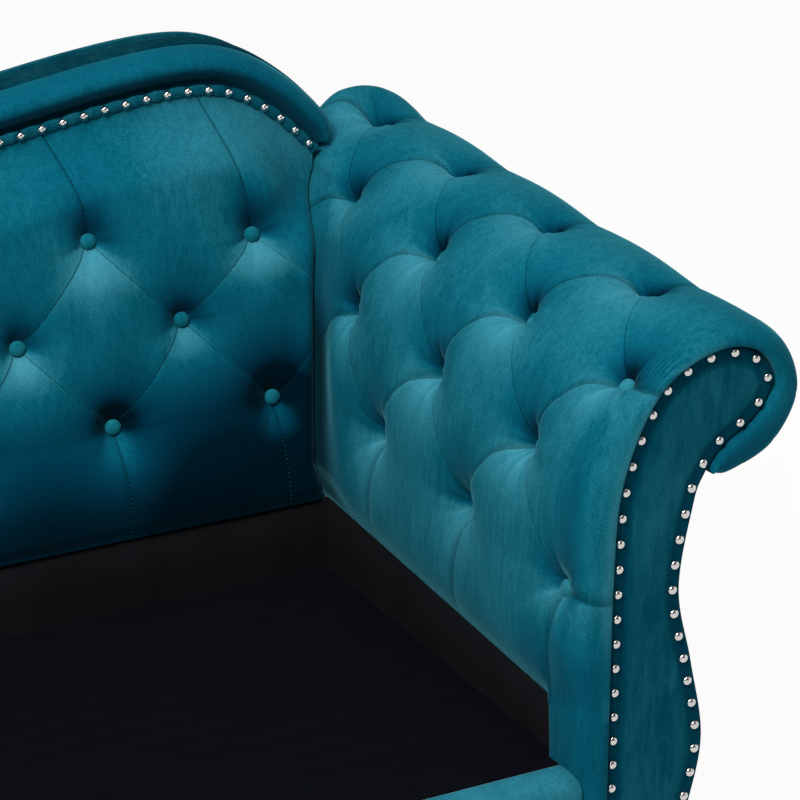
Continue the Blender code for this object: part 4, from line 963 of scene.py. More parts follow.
def arm_skin(y, run, crown, out, edge, share):
    """Points of the arm pad's outer face on a grid of depths and crown lengths.

    Also returns its crease coordinates, the rise that drives its painted light, and where it has painted
    shade.
    """
    y = np.asarray(y, float)[:, None]
    share = np.asarray(share, float)[:, None]
    row = np.broadcast_to((run - ARM_ROW_FIRST) / ARM_ROW_PITCH, (len(y), len(run)))
    column = np.broadcast_to((ARM_BUTTON_FIRST - y) / ARM_HALF_PITCH + ARM_PHASE, row.shape)
    span = (ARM_PHASE, ARM_PHASE + ARM_LAST_COLUMN)
    pitches = (ARM_ROW_PITCH, ARM_HALF_PITCH)
    reaches = (ARM_ROW_FIRST / ARM_ROW_PITCH, ARM_CREASE_REACH)
    depth, away, turn, pick, creases = tufting(row, column, ARM_ROWS, (span[0] - 1, span[1]), pitches,
                                               ARM_PILLOWS, ARM_BOW, reaches)
    # The creases are shallower on the roll
    depth = depth * (1 - ROLL_CREASE_LOSS * smoothstep(*ROLL_ROWS, row))
    lattice = (row, column, ARM_ROWS, span, pitches)
    hollow = ARM_FUNNEL * funnels(*lattice, ARM_FUNNEL_RADIUS, ARM_LAST_FUNNEL)
    lobe = 1 - (depth + hollow) / (ARM_FUNNEL + ARM_CREASE)
    depth = depth + hollow
    # The back presses the pad flat where they meet
    seat_side = 1 - smoothstep(*SEAT_SIDE_END, run)
    back_face = raked(crown[:, 1], CROWN_SETBACK)
    back_face = back_face + 0.5 * CORNER_DRAW * smoothstep(*CORNER_HEIGHTS, crown[:, 1])
    press = smoothstep(-PRESS_REACH, -0.004, y - back_face) * seat_side
    hem = smoothstep(0.0, 0.03, run) * smoothstep(0.0, 0.02, run[-1] - run)
    fade = smoothstep(0.0, 0.9, share) * hem * (1 - press**2)
    ripples = button_ripples(away, turn, pick, ARM_RIPPLE_SEED)
    uneven = ARM_RIPPLE * ripples + ARM_WAVE * slow_waves(y, run, ARM_WAVE_SEED)
    sink = (depth - REAR_PUFF * rear_puff(y, run) + uneven) * fade + lip_pleats(y, run)
    sink = sink + press * np.maximum(junction_x(crown[:, 1]) - crown[:, 0], 0) * seat_side
    full = crown[None] - out[None] * sink[..., None]
    spot = full * share[..., None] + edge[None] * (1 - share[..., None])
    # The pillows are pushed up towards the creases above them
    along = np.stack([out[:, 1], -out[:, 0]], axis=1)
    upright = np.clip(along[:, 1], 0, 1) * smoothstep(0.0, 0.08, run)
    lift = ARM_LIFT * lobe * upright * fade
    spot = spot + along[None] * lift[..., None]
    # The foot hangs straight in front of the lining and flares a little over it
    hang = front_hem(y) * (1 - smoothstep(0.0, 0.085, run)) * share
    spot[..., 0] -= (crown[:, 0] - POST_FACE)[None] * hang
    spot[..., 0] -= ARM_FOOT_FLARE * (1 - smoothstep(0.0, 0.03, run)) * share * (1 - hang)
    depths = np.broadcast_to(y[..., None], spot.shape[:2] + (1,))
    # Painted light on slopes that face up, painted shade on the others and in the hollows, and painted
    # light and shade round the buttons
    rise = np.gradient(hollow + 0.4 * (depth - hollow), axis=1) / np.gradient(run) * fade
    rise = rise * (1 - 0.8 * smoothstep(*ARM_SLOPE_FADE, run))
    shades = button_painted_light(*lattice, ARM_FAN)
    rise = rise + 0.85 * shades * fade * (1 - 0.6 * smoothstep(*ARM_FAN_FADE, run))
    rise = rise - (hollow / ARM_FUNNEL)**2 * (0.30 + 0.60 * smoothstep(*ARM_HOLLOW_GROWTH, run)) * fade
    pits = button_pits(*lattice)
    # Painted shade in the pits above the buttons and along the ripples
    dark = (ARM_PIT * pits * smoothstep(*ARM_PIT_GROWTH, run) + ARM_RIPPLE_SHADE * ripples) * fade
    return np.concatenate([spot[..., :1], depths, spot[..., 1:]], axis=2), creases, rise, dark


def arm_stations(count):
    """Depths from rear lip to front lip, with the share of the full crown at each."""
    lip = lip_curve()
    body = np.linspace(BOARD_REAR + LIP_KEYS[0][1], BOARD_FRONT - LIP_KEYS[0][1], count)
    y = np.concatenate([BOARD_REAR + lip[:0:-1, 1], body, BOARD_FRONT - lip[1:, 1]])
    share = np.concatenate([lip[:0:-1, 0], np.ones(count), lip[1:, 0]])
    return y, np.clip(share, 0, 1)


def paint_arm_light(skin, rise, dark, y, run, share):
    """Painted light and shade on the arm pad's outer face."""
    depth, height = skin[..., 1], skin[..., 2]
    y, share = y[:, None], share[:, None]
    # Painted shade in the seat's corner, at the front foot and edge, at the roll's end and front, along the
    # hem and across the gather
    corner = smoothstep(-0.16, 0.02, depth - raked(height, 0.0)) * smoothstep(0.46, 0.24, height)
    front_edge = np.exp(-((depth - BOARD_FRONT - 0.018) / 0.018)**2)
    front_edge = front_edge * smoothstep(0.48, 0.40, height) * smoothstep(0.14, 0.22, height)
    gather = gathers(y, run)
    parts = {"front foot": smoothstep(-0.46, -0.54, depth) * smoothstep(0.24, 0.12, height),
             "corner": corner,
             "deep corner": smoothstep(0.45, 0.90, corner),
             "front edge": front_edge,
             "roll's end": smoothstep(0.64, 0.75, run),
             "hem": smoothstep(0.045, 0.0, run),
             "gather": gather,
             "gathered": np.abs(gather),
             "roll's front": smoothstep(-0.38, -0.56, y) * smoothstep(0.46, 0.54, run)}
    nap = shaded(slope_painted_light(ARM_PAINTED_LIGHT, ARM_PAINTED_LIGHT_SWING, rise) - dark, parts, ARM_PAINTED_SHADES)
    hanging = front_hem(depth) * smoothstep(0.075, 0.0, run)
    nap = nap + (POST_PAINTED_LIGHT - nap) * hanging
    # Painted highlight along the rim of the front lip
    lip = smoothstep(0.45, 0.10, share) * (y < 0) * (1 - smoothstep(0.42, 0.52, run))
    return nap - ARM_PAINTED_SHADES["lip"] * lip


def arm_pad(side, finish):
    """The buttoned pad over the seat side and roll of one arm."""
    run, crown, out, edge = arm_crown(ARM_CROWN_POINTS)
    y, share = arm_stations(ARM_STATIONS)
    skin, creases, rise, dark = arm_skin(y, run, crown, out, edge, share)
    inner = np.vstack([scroll_curve(*part, steps=4) for part in PAD_INSIDE])[::-1]
    rings = []
    for ring, depth in zip(skin, y):
        rings.append(np.vstack([ring, at_depth(inner, min(max(depth, BOARD_FRONT), BOARD_REAR))]))
    piece = loft(f"{word_for(side)}_arm_pad", place(np.array(rings), side), finish, sharp_from=70)
    plain = len(inner)
    sew(piece, np.concatenate([creases, np.full((len(y), plain, 2), OFF_CREASE)], axis=1))
    nap = paint_arm_light(skin, rise, dark, y, run, share)
    return paint_light_level(piece, np.hstack([nap, np.full((len(y), plain), HIDDEN_ARM_PAINTED_LIGHT)]))


def arm_post(side, finish):
    """Velvet below the pad's front end, which hangs straight down to the base."""
    lip = lip_curve()
    share = np.clip(lip[:, 0], 0, 1)
    inside = SCROLL_FOOT_IN - LIP_CLEARANCE
    flank = np.linspace(POST_REAR, BOARD_FRONT - LIP_KEYS[0][1], 9)[:-1]
    turn = np.array(POST_TURN + [1.0] * (len(flank) - len(POST_TURN)))
    rings = []
    for z in np.linspace(LINING_RISE + GAP, BASE, 40):
        belly = POST_FACE + POST_DRAW * smoothstep(LINING_RISE, BASE, z) + faint_waves(z, POST_WAVES)
        x = belly * share + inside * (1 - share)
        outline = [*zip(belly * turn, flank), *zip(x, BOARD_FRONT - lip[:, 1]), (inside, POST_REAR)]
        rings.append([(px, py, z) for px, py in outline])
    return loft(f"{word_for(side)}_arm_post", place(rings, side), finish, sharp_from=60)


# Buttons, back and crest

def turned_rings(profile, centre, sides):
    """Rings of a turned shape from (radius, height) points."""
    turn = np.linspace(0, 2 * np.pi, sides, endpoint=False)
    return np.array([[(centre[0] + r * math.cos(a), centre[1] + r * math.sin(a), z) for a in turn]
                     for r, z in profile])


def covered_buttons(name, spots, finish):
    """Domed covered buttons, each on its spot and facing its own way."""
    sides = 20
    points, faces = [], []
    for base, facing in spots:
        facing = np.asarray(facing, float) / np.linalg.norm(facing)
        level = np.cross(facing, ASKEW)
        level /= np.linalg.norm(level)
        axes = np.stack([level, np.cross(facing, level), facing])
        shape = [(r * BUTTON_RADIUS, h * BUTTON_HEIGHT) for r, h in BUTTON_PROFILE]
        rings = turned_rings(shape, (0.0, 0.0), sides)
        start = sum(len(p) for p in points)
        points.append(rings.reshape(-1, 3) @ axes + base)
        faces += [tuple(start + k for k in face) for face in tube_faces(len(rings), sides)]
    return new_piece(name, np.vstack(points), faces, finish, sharp_from=60)


def arm_button_spots(side):
    """Seats of one arm's buttons, apart from the low ones that the back covers."""
    run, crown, out = arm_crown(600)[:3]
    spots = []
    for row in range(ARM_ROWS):
        at = int(np.argmin(np.abs(run - ARM_ROW_FIRST - row * ARM_ROW_PITCH)))
        for column in range(ARM_LAST_COLUMN + 1):
            y = ARM_BUTTON_FIRST - column * ARM_HALF_PITCH
            covered = crown[at][0] < 0.05 and y > raked(crown[at][1], CROWN_SETBACK) - BUTTON_RADIUS
            if (row + column + ARM_PHASE) % 2 or covered:
                continue
            funnel = ARM_FUNNEL * (ARM_LAST_FUNNEL if column == ARM_LAST_COLUMN else 1.0)
            seat = crown[at] - out[at] * (funnel + ARM_CREASE - ARM_BUTTON_PROUD)
            base = place((seat[0], y, seat[1]), side)
            spots.append((base, (side * out[at][0], -ARM_BUTTON_TURN, out[at][1])))
    return spots


def raked(height, setback):
    """Depth of the raked back at a height, a setback behind its reference line."""
    return setback + RAKE * (height - RAKE_LEVEL)


def crest_curve(count, end=0.0):
    """The crest's nail line across the sofa, stopped short of each of its ends by end."""
    half = [(0.0, CREST_DIP)] + [(HALF - inset, height) for inset, height in CREST_SHOULDER]
    whole = [(-x, z) for x, z in half[:0:-1]] + half
    fine = smooth_curve(whole, np.linspace(0, len(whole) - 1, CREST_LINE_POINTS))
    return even_points(fine, count, end)


def crest_height(x):
    """Height of the nail line over the deck at a distance from the centre plane."""
    count = 600
    half = crest_curve(count)[count // 2:]
    return np.interp(np.abs(x), half[:, 0], half[:, 1])


def crown_x(height):
    """How far out the arm pad's crown lies at a height, on its seat side."""
    curve = smooth_curve(crown_keys(), np.linspace(0, len(CROWN_SIDE), 200))
    return np.interp(height, curve[:, 1], curve[:, 0])


def back_row_height(row, x):
    """Height of a tufting row, which droops beside the arms in the top row."""
    height = np.interp(row, range(BACK_ROWS), BACK_ROW_HEIGHTS)
    start = (BACK_LAST_COLUMN - 2) * BACK_HALF_PITCH
    droop = BACK_END_DROOP * smoothstep(start, start + 0.21, np.abs(x))
    return height - droop * np.clip(row - BACK_TOP + 1, 0, 1)


def pleat_lean(base, roof, share):
    """How far the pleats over the top buttons lean inwards, at a share of their way up to the roof."""
    return BACK_PLEAT_LEAN * (roof - base) * np.clip(share, 0, 1)**BACK_PLEAT_BEND


def back_skin(columns, rows):
    """Points of the back pad's face on a grid of shares across and rows up.

    Also returns its crease coordinates and the rise that drives its painted light.
    """
    share, row = np.meshgrid(columns, rows, indexing="ij")
    roof_end = crest_curve(3)[-1][0] - 0.004
    x = share * HALF
    low = BACK_FOOT
    # Heights and the pad's sides depend on each other, so they are found in a few rounds
    for _ in range(4):
        base = back_row_height(np.clip(row, 0, BACK_TOP), x)
        roof = crest_height(x) - GIMP_WIDTH / 2
        z = np.where(row < 0, base + (base - low) * row, base)
        z = np.where(row > BACK_TOP, base + (roof - base) * (row - BACK_TOP), z)
        edge = HALF + np.maximum(crown_x(np.maximum(z, low)), junction_x(z)) - PAD_SIDE_GAP
        x = share * np.minimum(edge, roof_end)
    lean = pleat_lean(base, roof, row - BACK_TOP)
    column = (x + np.sign(x) * lean) / BACK_HALF_PITCH + BACK_LAST_COLUMN
    span = (-2, 2 * BACK_LAST_COLUMN + 2)
    lattice = (row, column, BACK_ROWS, span, (BACK_ROW_PITCH, BACK_HALF_PITCH))
    reaches = (BACK_CREASE_REACH, BACK_CREASE_REACH)
    depth, away, turn, pick, creases = tufting(*lattice, BACK_PILLOWS, 0.0, reaches)
    hollow = BACK_FUNNEL * funnels(*lattice, BACK_FUNNEL_RADIUS)
    sewn = depth
    depth = depth + hollow
    # The tufts grow shallower towards the nails, the sides and the foot
    line = crest_curve(121)
    under = np.min(np.hypot(x[..., None] - line[:, 0], z[..., None] - line[:, 1]), axis=-1)
    side = np.minimum(edge, roof_end) - np.abs(x)
    foot = smoothstep(low, low + 0.02, z)
    inner = smoothstep(0.0, 0.03, side) * foot * smoothstep(0.004, 0.034, under)
    belly = BACK_BELLY * np.sin(np.pi * np.clip((z - low) / (BACK_ROW_HEIGHTS[0] - low), 0, 1))**1.6
    y = raked(z, CROWN_SETBACK) + depth * (0.2 + 0.8 * inner) - belly * smoothstep(0.0, 0.12, side)
    ripples = button_ripples(away, turn, pick, BACK_RIPPLE_SEED)
    waves = slow_waves(x, z, BACK_WAVE_SEED, size=14.0)
    y = y + (BACK_RIPPLE * ripples + BACK_WAVE * waves) * inner
    # The sides and the foot turn back, and the top is drawn to the nails
    tuck = 1 - np.clip(side / BACK_SIDE_REACH, 0, 1)
    y = y + BACK_SIDE_TURN * (1 - np.sqrt(1 - tuck**2)) + (1 - foot) * BACK_FOOT_TURN
    corner = smoothstep(*CORNER_HEIGHTS, z) * (1 - smoothstep(0.0, PRESS_REACH, side))
    y = y + CORNER_DRAW * corner
    pull = 1 - smoothstep(0.005, 0.085, under)
    y = y + pull * np.maximum(CREST_NAIL_Y - 0.0005 - y, -0.02)
    # Painted light on the slopes and round the buttons
    rise = np.gradient(hollow + 0.5 * sewn, axis=1) / np.gradient(z, axis=1)
    rise = 0.75 * rise + 0.68 * button_painted_light(*lattice, BACK_FAN)
    return np.stack([x, y, z], axis=-1), creases, rise


def back_grid():
    """Shares across and rows up of the back pad's fine grid."""
    crowding = 1.25
    columns = np.sin(np.linspace(-1, 1, BACK_POINTS_ACROSS) * crowding) / math.sin(crowding)
    stops = (-1, 0, BACK_TOP, BACK_ROWS)
    parts = [np.linspace(*ends, count) for *ends, count in zip(stops, stops[1:], BACK_POINTS_UP)]
    return columns, np.concatenate([parts[0][:-1], parts[1][:-1], parts[2]])


def back_pad(finish):
    """The buttoned pad of the inside back."""
    columns, rows = back_grid()
    skin, creases, rise = back_skin(columns, rows)
    faces, border = grid_faces(*skin.shape[:2])
    front = skin.reshape(-1, 3)
    rim = front[border].copy()
    rim[:, 1] = np.maximum(raked(rim[:, 2], PAD_REAR_SETBACK), rim[:, 1] + 0.002)
    rear = list(range(len(front), len(front) + len(rim)))
    faces += wall_faces(border, rear) + [tuple(rear)]
    piece = new_piece("back_pad", across(np.vstack([front, rim])), faces, finish, sharp_from=70)
    sew(piece, np.vstack([creases.reshape(-1, 2), np.full((len(rim), 2), OFF_CREASE)]))
    away, z = np.abs(skin[..., 0]), skin[..., 2]
    # Painted shade at the foot and in the low corners, and painted light in the high corners
    parts = {"foot": smoothstep(0.32, 0.14, z),
             "low corner": smoothstep(0.25, 0.53, away) * smoothstep(0.44, 0.22, z),
             "high corner": smoothstep(0.30, 0.52, away) * smoothstep(0.42, 0.50, z)}
    nap = shaded(slope_painted_light(BACK_PAINTED_LIGHT, BACK_PAINTED_LIGHT_SWING, rise), parts, BACK_PAINTED_SHADES)
    return paint_light_level(piece, np.concatenate([nap.ravel(), np.full(len(rim), HIDDEN_BACK_PAINTED_LIGHT)]))


def back_button_spots():
    """Seats of the back's buttons."""
    spots = []
    for row in range(BACK_ROWS):
        for column in range(-BACK_LAST_COLUMN, BACK_LAST_COLUMN + 1):
            if (row + column + BACK_LAST_COLUMN) % 2:
                continue
            x = column * BACK_HALF_PITCH
            z = float(back_row_height(row, x))
            y = raked(z, CROWN_SETBACK) + BACK_FUNNEL + BACK_CREASE - BACK_BUTTON_PROUD
            spots.append((across((x, y, z)), (0.0, -1.0, RAKE * 0.8)))
    return spots


def band_rise(count):
    """Height of the crest border along its line, less towards the arms."""
    share = np.abs(np.linspace(-1, 1, count))
    starts = (CREST_TAPER_FROM, CREST_TUCK_FROM)
    taper, tuck = (np.clip((share - start) / (1 - start), 0, 1) for start in starts)
    return (CREST_BAND + (CREST_BAND_END - CREST_BAND) * taper) * (1 - CREST_TUCK * tuck**2)


def crest_section(rise):
    """Section of the padded border as (rise, depth): front roll, sewn seam and level top."""
    front, rear = CREST_NAIL_Y, BOARD_REAR
    foot = -GIMP_WIDTH / 2 + 0.0012
    roll, seam, top = ([(share * rise, front + behind) for share, behind in keys]
                       for keys in (CREST_ROLL, CREST_SEAM, CREST_TOP))
    roll = [(foot, front + 0.0135)] + roll
    roll = smooth_curve(roll, np.linspace(0, len(roll) - 1, CREST_ROLL_STEPS))
    top += [(share * rise, rear - before) for share, before in CREST_TOP_REAR]
    cap = smooth_curve(top, np.linspace(0, len(top) - 1, CREST_CAP_STEPS))
    under = [(rise - CREST_CAP, rear - 0.001), (rise - CREST_CAP, CREST_RAIL_FRONT - 0.001),
             (foot, CREST_RAIL_FRONT - 0.001)]
    return np.array([*roll, *seam, *cap, *under])


def along_crest(spot, lift, section):
    """A section of (rise, depth) points set up at one spot of the crest's line."""
    return [(spot[0] + lift[0] * rise, y, spot[1] + lift[1] * rise) for rise, y in section]


def crest_border(finish, top_finish):
    """The padded border along the top of the back, with its separate top strip."""
    count = 241
    curve = crest_curve(count)
    out = left_normals(curve)
    rises = band_rise(count)
    sections = [along_crest(*spot, crest_section(rise)) for *spot, rise in zip(curve, out, rises)]
    piece = loft("crest_border", across(sections), finish)
    piece.data.materials.append(top_finish)
    size = len(sections[0])
    # The top strip gets the darker velvet, as painted shade
    for polygon in piece.data.polygons:
        if min(corner % size for corner in polygon.vertices) >= size - CREST_CAP_STEPS - 4:
            polygon.material_index = 1
    # Painted shade at the foot of the roll, in the cove above the nails
    step = np.arange(size) / CREST_ROLL_STEPS
    roll = BORDER_FOOT_PAINTED_LIGHT + (BORDER_ROLL_PAINTED_LIGHT - BORDER_FOOT_PAINTED_LIGHT) * smoothstep(0.26, 0.62, step)
    nap = np.where(step < 1, roll, BORDER_TOP_PAINTED_LIGHT)
    return paint_light_level(piece, np.tile(nap, count))


def crest_gimp(finish):
    """The velvet strip under the crest's nails, pinched at each nail and puffed between."""
    curve = crest_curve(CREST_LINE_POINTS, CREST_LINE_END)
    out = left_normals(curve)
    run = lengths(curve)
    nailed = run[-1] - 2 * CREST_NAIL_END
    nails = round(nailed / CREST_NAIL_PITCH)
    beat = np.abs(np.sin(np.pi * (run - CREST_NAIL_END) / nailed * nails))
    sections = []
    for spot, lift, puff in zip(curve, out, beat):
        half = GIMP_WIDTH / 2 * (GIMP_SHARE + GIMP_SHARE_GAIN * puff)
        face = CREST_NAIL_Y - GIMP_FACE - GIMP_FACE_GAIN * puff
        below = [(-half, CREST_NAIL_Y + 0.001), (-half, face + 0.0016), (-0.75 * half, face + 0.0003)]
        above = [(-rise, y) for rise, y in below[::-1]]
        sections.append(along_crest(spot, lift, below + [(0.0, face)] + above))
    return loft("crest_gimp", across(sections), finish, sharp_from=60)


# Panels, seat and legs

def inset_outline(inset, steps=14):
    """The scroll's closed outline moved inwards, with the folds of tight bends drawn straight."""
    plain = scroll_curve(-1, SCROLL_LAST, 0.0, steps)
    moved = scroll_curve(-1, SCROLL_LAST, inset, steps)
    forward = np.sum(np.diff(moved, axis=0) * np.diff(plain, axis=0), axis=1) > 0
    kept = np.flatnonzero(np.concatenate([[True], forward]) & np.concatenate([forward, [True]]))
    return read_curve(np.arange(len(moved)), kept, moved[kept])


def scroll_panel(name, side, face, back, finish):
    """A velvet panel in the scroll outline: an edge strip, a trough for the nails and a padded field."""
    turn = math.copysign(1, face - back)
    thick = abs(face - back)
    insets, shares, painted_light_levels = zip(*PANEL_STEPS)
    rings = [at_depth(inset_outline(inset), back + turn * thick * share)
             for inset, share in zip(insets, shares)]
    piece = loft(name, place(np.array(rings), side), finish, sharp_from=55)
    # Along the edge beside the seat the painted shade of the strip and the trough is lighter
    inner = smoothstep(0.60, 0.45, np.linspace(0, 1, len(rings[0])))
    return paint_light_level(piece, np.concatenate([nap + 0.5 * max(0.70 - nap, 0) * inner for nap in painted_light_levels]))


def outer_arm(side, finish):
    """Velvet over the outside of one arm, from under the roll down to the base."""
    steps = 12
    under = scroll_curve(OUTER_COVER_START, SCROLL_LAST, OUTER_COVER, steps)[::-1]
    ends = [(BOARD_FRONT + at, draw) for at, draw in OUTER_COVER_EASE]
    ends += [(BOARD_REAR - at, draw) for at, draw in OUTER_COVER_EASE[::-1]]
    rings = []
    for y, draw in ends:
        ring = np.vstack([scroll_curve(OUTER_COVER_START, SCROLL_LAST, draw, steps), under])
        rings.append(at_depth(ring, y))
    return loft(f"{word_for(side)}_outer_arm", place(rings, side), finish)


def outer_back(finish):
    """The velvet panel of the outside back, with an eased edge."""
    count, spare = 161, 6
    curve = crest_curve(count)
    top = curve + left_normals(curve) * (band_rise(count)[:, None] - 0.003)
    top = top[spare:-spare]
    ledge = LINING_RISE - 0.0006
    heights = np.linspace(ledge, top[-1][1] - 0.02, 40)
    foot = HALF + SCROLL_FOOT_IN - 0.0008
    # Beside the arm pads the panel's edge follows them, and flares there
    beside_pad = np.maximum(crown_x(np.maximum(heights, 0.18)), junction_x(heights))
    side = np.minimum(HALF + beside_pad + 0.001, top[-1][0])
    right = [(foot, BASE), (foot, ledge), *zip(side, heights)]
    outline = np.array(right + [tuple(spot) for spot in top[::-1]] + [(-x, z) for x, z in right[::-1]])
    middle = np.array([0.0, 0.2])
    beside = (outline[:, 1] > LINING_RISE) & (outline[:, 1] < top[-1][1] - 0.06)
    rings = []
    reach = np.linalg.norm(outline - middle, axis=1)[:, None]
    for behind, ease, flare in OUTER_BACK_EASE:
        ring = outline - (outline - middle) / reach * ease
        ring[:, 0] += np.sign(ring[:, 0]) * flare * beside
        rings.append(at_depth(ring, BOARD_REAR + behind))
    return loft("outer_back", across(rings), finish)


def front_rail_cover(finish):
    """Velvet over the front seat rail, rounded over from the deck's edge."""
    top = DECK_SLOPE * -DECK_FRONT
    keys = [(DECK_FRONT + y, top + z) for y, z in RAIL_NOSE_INSIDE]
    keys += [(RAIL_FACE + y, top + z) for y, z in RAIL_NOSE_FACE]
    nose = smooth_curve(keys, np.linspace(0, len(keys) - 1, 30))
    outline = [*nose, (RAIL_FACE + 0.0005, -0.06), (RAIL_FACE, BASE + 0.004), (RAIL_FACE + 0.0013, BASE),
               (RAIL_INSIDE, BASE), (RAIL_INSIDE, RAIL_COVER_FOOT), (DECK_FRONT - GAP, RAIL_COVER_FOOT)]
    # The face waves a little, and is drawn in at its ends
    outer, upper = RAIL_FACE + 0.0213, 0.02
    rings = []
    for x in np.linspace(-HALF + RAIL_END_GAP, HALF - RAIL_END_GAP, 120):
        end = smoothstep(HALF - 0.012, HALF, abs(x))
        wave = faint_waves(x, RAIL_WAVES)
        rings.append([(x, y + (wave + 0.004 * end) * (y < outer), z - 0.003 * end * (z > upper))
                      for y, z in outline])
    return loft("front_rail_cover", across(rings), finish)


def deck_sheet(finish):
    """Black cloth over the seat deck, a little slack between the springs."""
    xs = np.linspace(-HALF + DECK_SIDE_GAP, HALF - DECK_SIDE_GAP, 120)
    ys = np.linspace(DECK_FRONT, -DECK_SIDE_GAP, 64)
    x, y = np.meshgrid(xs, ys, indexing="ij")
    rim = np.minimum(np.minimum(HALF - np.abs(x), -y), y - DECK_FRONT)
    waves = slow_waves(x, y, DECK_WAVE_SEED, size=11.0)
    slack = smoothstep(0.0, 0.05, rim) * (DECK_WAVE * waves - DECK_SAG)
    upper = np.stack([x, y, -DECK_SLOPE * y + slack], axis=-1)
    points = np.vstack([upper.reshape(-1, 3), upper.reshape(-1, 3) - (0.0, 0.0, DECK_CLOTH * 0.8)])
    cells, border = grid_faces(*x.shape)
    faces = cells + [tuple(x.size + k for k in cell[::-1]) for cell in cells]
    faces += wall_faces(border, [x.size + k for k in border])
    return new_piece("deck_sheet", across(points), faces, finish)


def lining_band(name, start, end, inward, finish):
    """A stretched strip of black lining between two corners, with a faint wave in its face."""
    start, end, inward = (np.asarray(v, float) for v in (start, end, inward))
    low, high = DECK_HEIGHT - LINING_TUCK, DECK_HEIGHT + LINING_RISE
    span = np.linalg.norm(end - start)
    rings = []
    for share in np.linspace(0, 1, 90):
        spot = start + (end - start) * share
        wave = faint_waves(span * share, LINING_WAVES)
        front = spot + inward * (wave * 0.5 + 0.0001)
        rear = spot - inward * LINING_THICKNESS * 0.9
        middle, eased = front + inward * wave, front - inward * LINING_EASE
        rings.append([(*rear, low), (*front, low), (*middle, (low + high) / 2),
                      (*front, high - LINING_EASE), (*eased, high), (*rear, high)])
    return loft(name, rings, finish)


def turned_leg(name, centre, finish):
    """A turned leg: slim foot, swelling body, neck and a flat collar under the frame."""
    keys = [(LEG_FOOT_RADIUS * 0.92, 0.0), (LEG_FOOT_RADIUS, 0.02), (LEG_FOOT_RADIUS, 0.10)]
    swell = LEG_RADIUS * 0.93 - LEG_FOOT_RADIUS
    low, high = LEG_SWELL
    keys += [(LEG_FOOT_RADIUS + swell * math.sin(math.pi / 2 * (s - low) / (high - low))**0.9, s)
             for s in np.linspace(low, high, 14)]
    keys += [(LEG_RADIUS * r, s) for r, s in LEG_COLLAR]
    rings = turned_rings([(r, LEG_HEIGHT * s) for r, s in keys], centre, 48)
    return loft(name, rings, finish, sharp_from=40)


# Nails and stitches

def path_object(name, paths):
    """A bare mesh of polylines, for the trees that set things along them."""
    points, edges = [], []
    for path in paths:
        start = len(points)
        points += [tuple(map(float, point)) for point in path]
        edges += [(k, k + 1) for k in range(start, len(points) - 1)]
    mesh = bpy.data.meshes.new(name)
    mesh.from_pydata(points, edges, [])
    return add_object(name, mesh)


class Tree:
    """A Geometry Nodes tree that sets copies of a shape along paths, at a pitch."""

    def __init__(self, name, pitch):
        self.tree = bpy.data.node_groups.new(name, "GeometryNodeTree")
        face = self.tree.interface
        face.new_socket("Geometry", in_out="INPUT", socket_type="NodeSocketGeometry")
        socket = face.new_socket("Pitch", in_out="INPUT", socket_type="NodeSocketFloat")
        socket.default_value = pitch
        self.pitch = socket.identifier
        face.new_socket("Geometry", in_out="OUTPUT", socket_type="NodeSocketGeometry")
        self.start = self.tree.nodes.new("NodeGroupInput")
        self.end = self.tree.nodes.new("NodeGroupOutput")

    def node(self, kind, settings=None, inputs=None):
        """Adds a node, sets it up and feeds its sockets."""
        made = self.tree.nodes.new(kind)
        for name, value in (settings or {}).items():
            setattr(made, name, value)
        for socket, value in (inputs or {}).items():
            if hasattr(value, "is_output"):
                self.tree.links.new(value, made.inputs[socket])
            else:
                made.inputs[socket].default_value = value
        return made

    def grow(self, shape, finish, turned):
        """Sets the shape along the paths, turned with them or not, as real geometry with its finish."""
        curve = self.node("GeometryNodeMeshToCurve", {}, {0: self.start.outputs["Geometry"]})
        spots = self.node("GeometryNodeCurveToPoints", {"mode": "LENGTH"},
                          {"Curve": curve.outputs[0], "Length": self.start.outputs["Pitch"]})
        inputs = {"Points": spots.outputs["Points"], "Instance": shape.outputs[0]}
        if turned:
            inputs["Rotation"] = spots.outputs["Rotation"]
        rows = self.node("GeometryNodeInstanceOnPoints", {}, inputs)
        real = self.node("GeometryNodeRealizeInstances", {}, {0: rows.outputs[0]})
        smooth = self.node("GeometryNodeSetShadeSmooth", {}, {0: real.outputs[0]})
        dressed = self.node("GeometryNodeSetMaterial", {}, {0: smooth.outputs[0], "Material": finish})
        self.tree.links.new(dressed.outputs[0], self.end.inputs[0])


def nail_tree(finish):
    """Domed nails along paths, facing the front of the sofa."""
    tree = Tree("nails along a path", ARM_NAIL_PITCH)
    ball = tree.node("GeometryNodeMeshUVSphere", {}, {"Segments": 18, "Rings": 12, "Radius": 1.0})
    forwards = {0: ball.outputs[0], "Rotation": (math.pi / 2, 0.0, 0.0)}
    dome = tree.node("GeometryNodeTransform", {}, forwards)
    size = {0: dome.outputs[0], "Scale": (NAIL_RADIUS, NAIL_HEIGHT, NAIL_RADIUS)}
    tree.grow(tree.node("GeometryNodeTransform", {}, size), finish, turned=False)
    return tree


def stitch_tree(finish):
    """Short thread stitches in a row along paths."""
    tree = Tree("stitches along a path", STITCH_PITCH)
    ball = tree.node("GeometryNodeMeshIcoSphere", {}, {"Radius": 1.0, "Subdivisions": 1})
    size = {0: ball.outputs[0], "Scale": (STITCH_RADIUS, STITCH_RADIUS, STITCH_LENGTH / 2)}
    tree.grow(tree.node("GeometryNodeTransform", {}, size), finish, turned=True)
    return tree


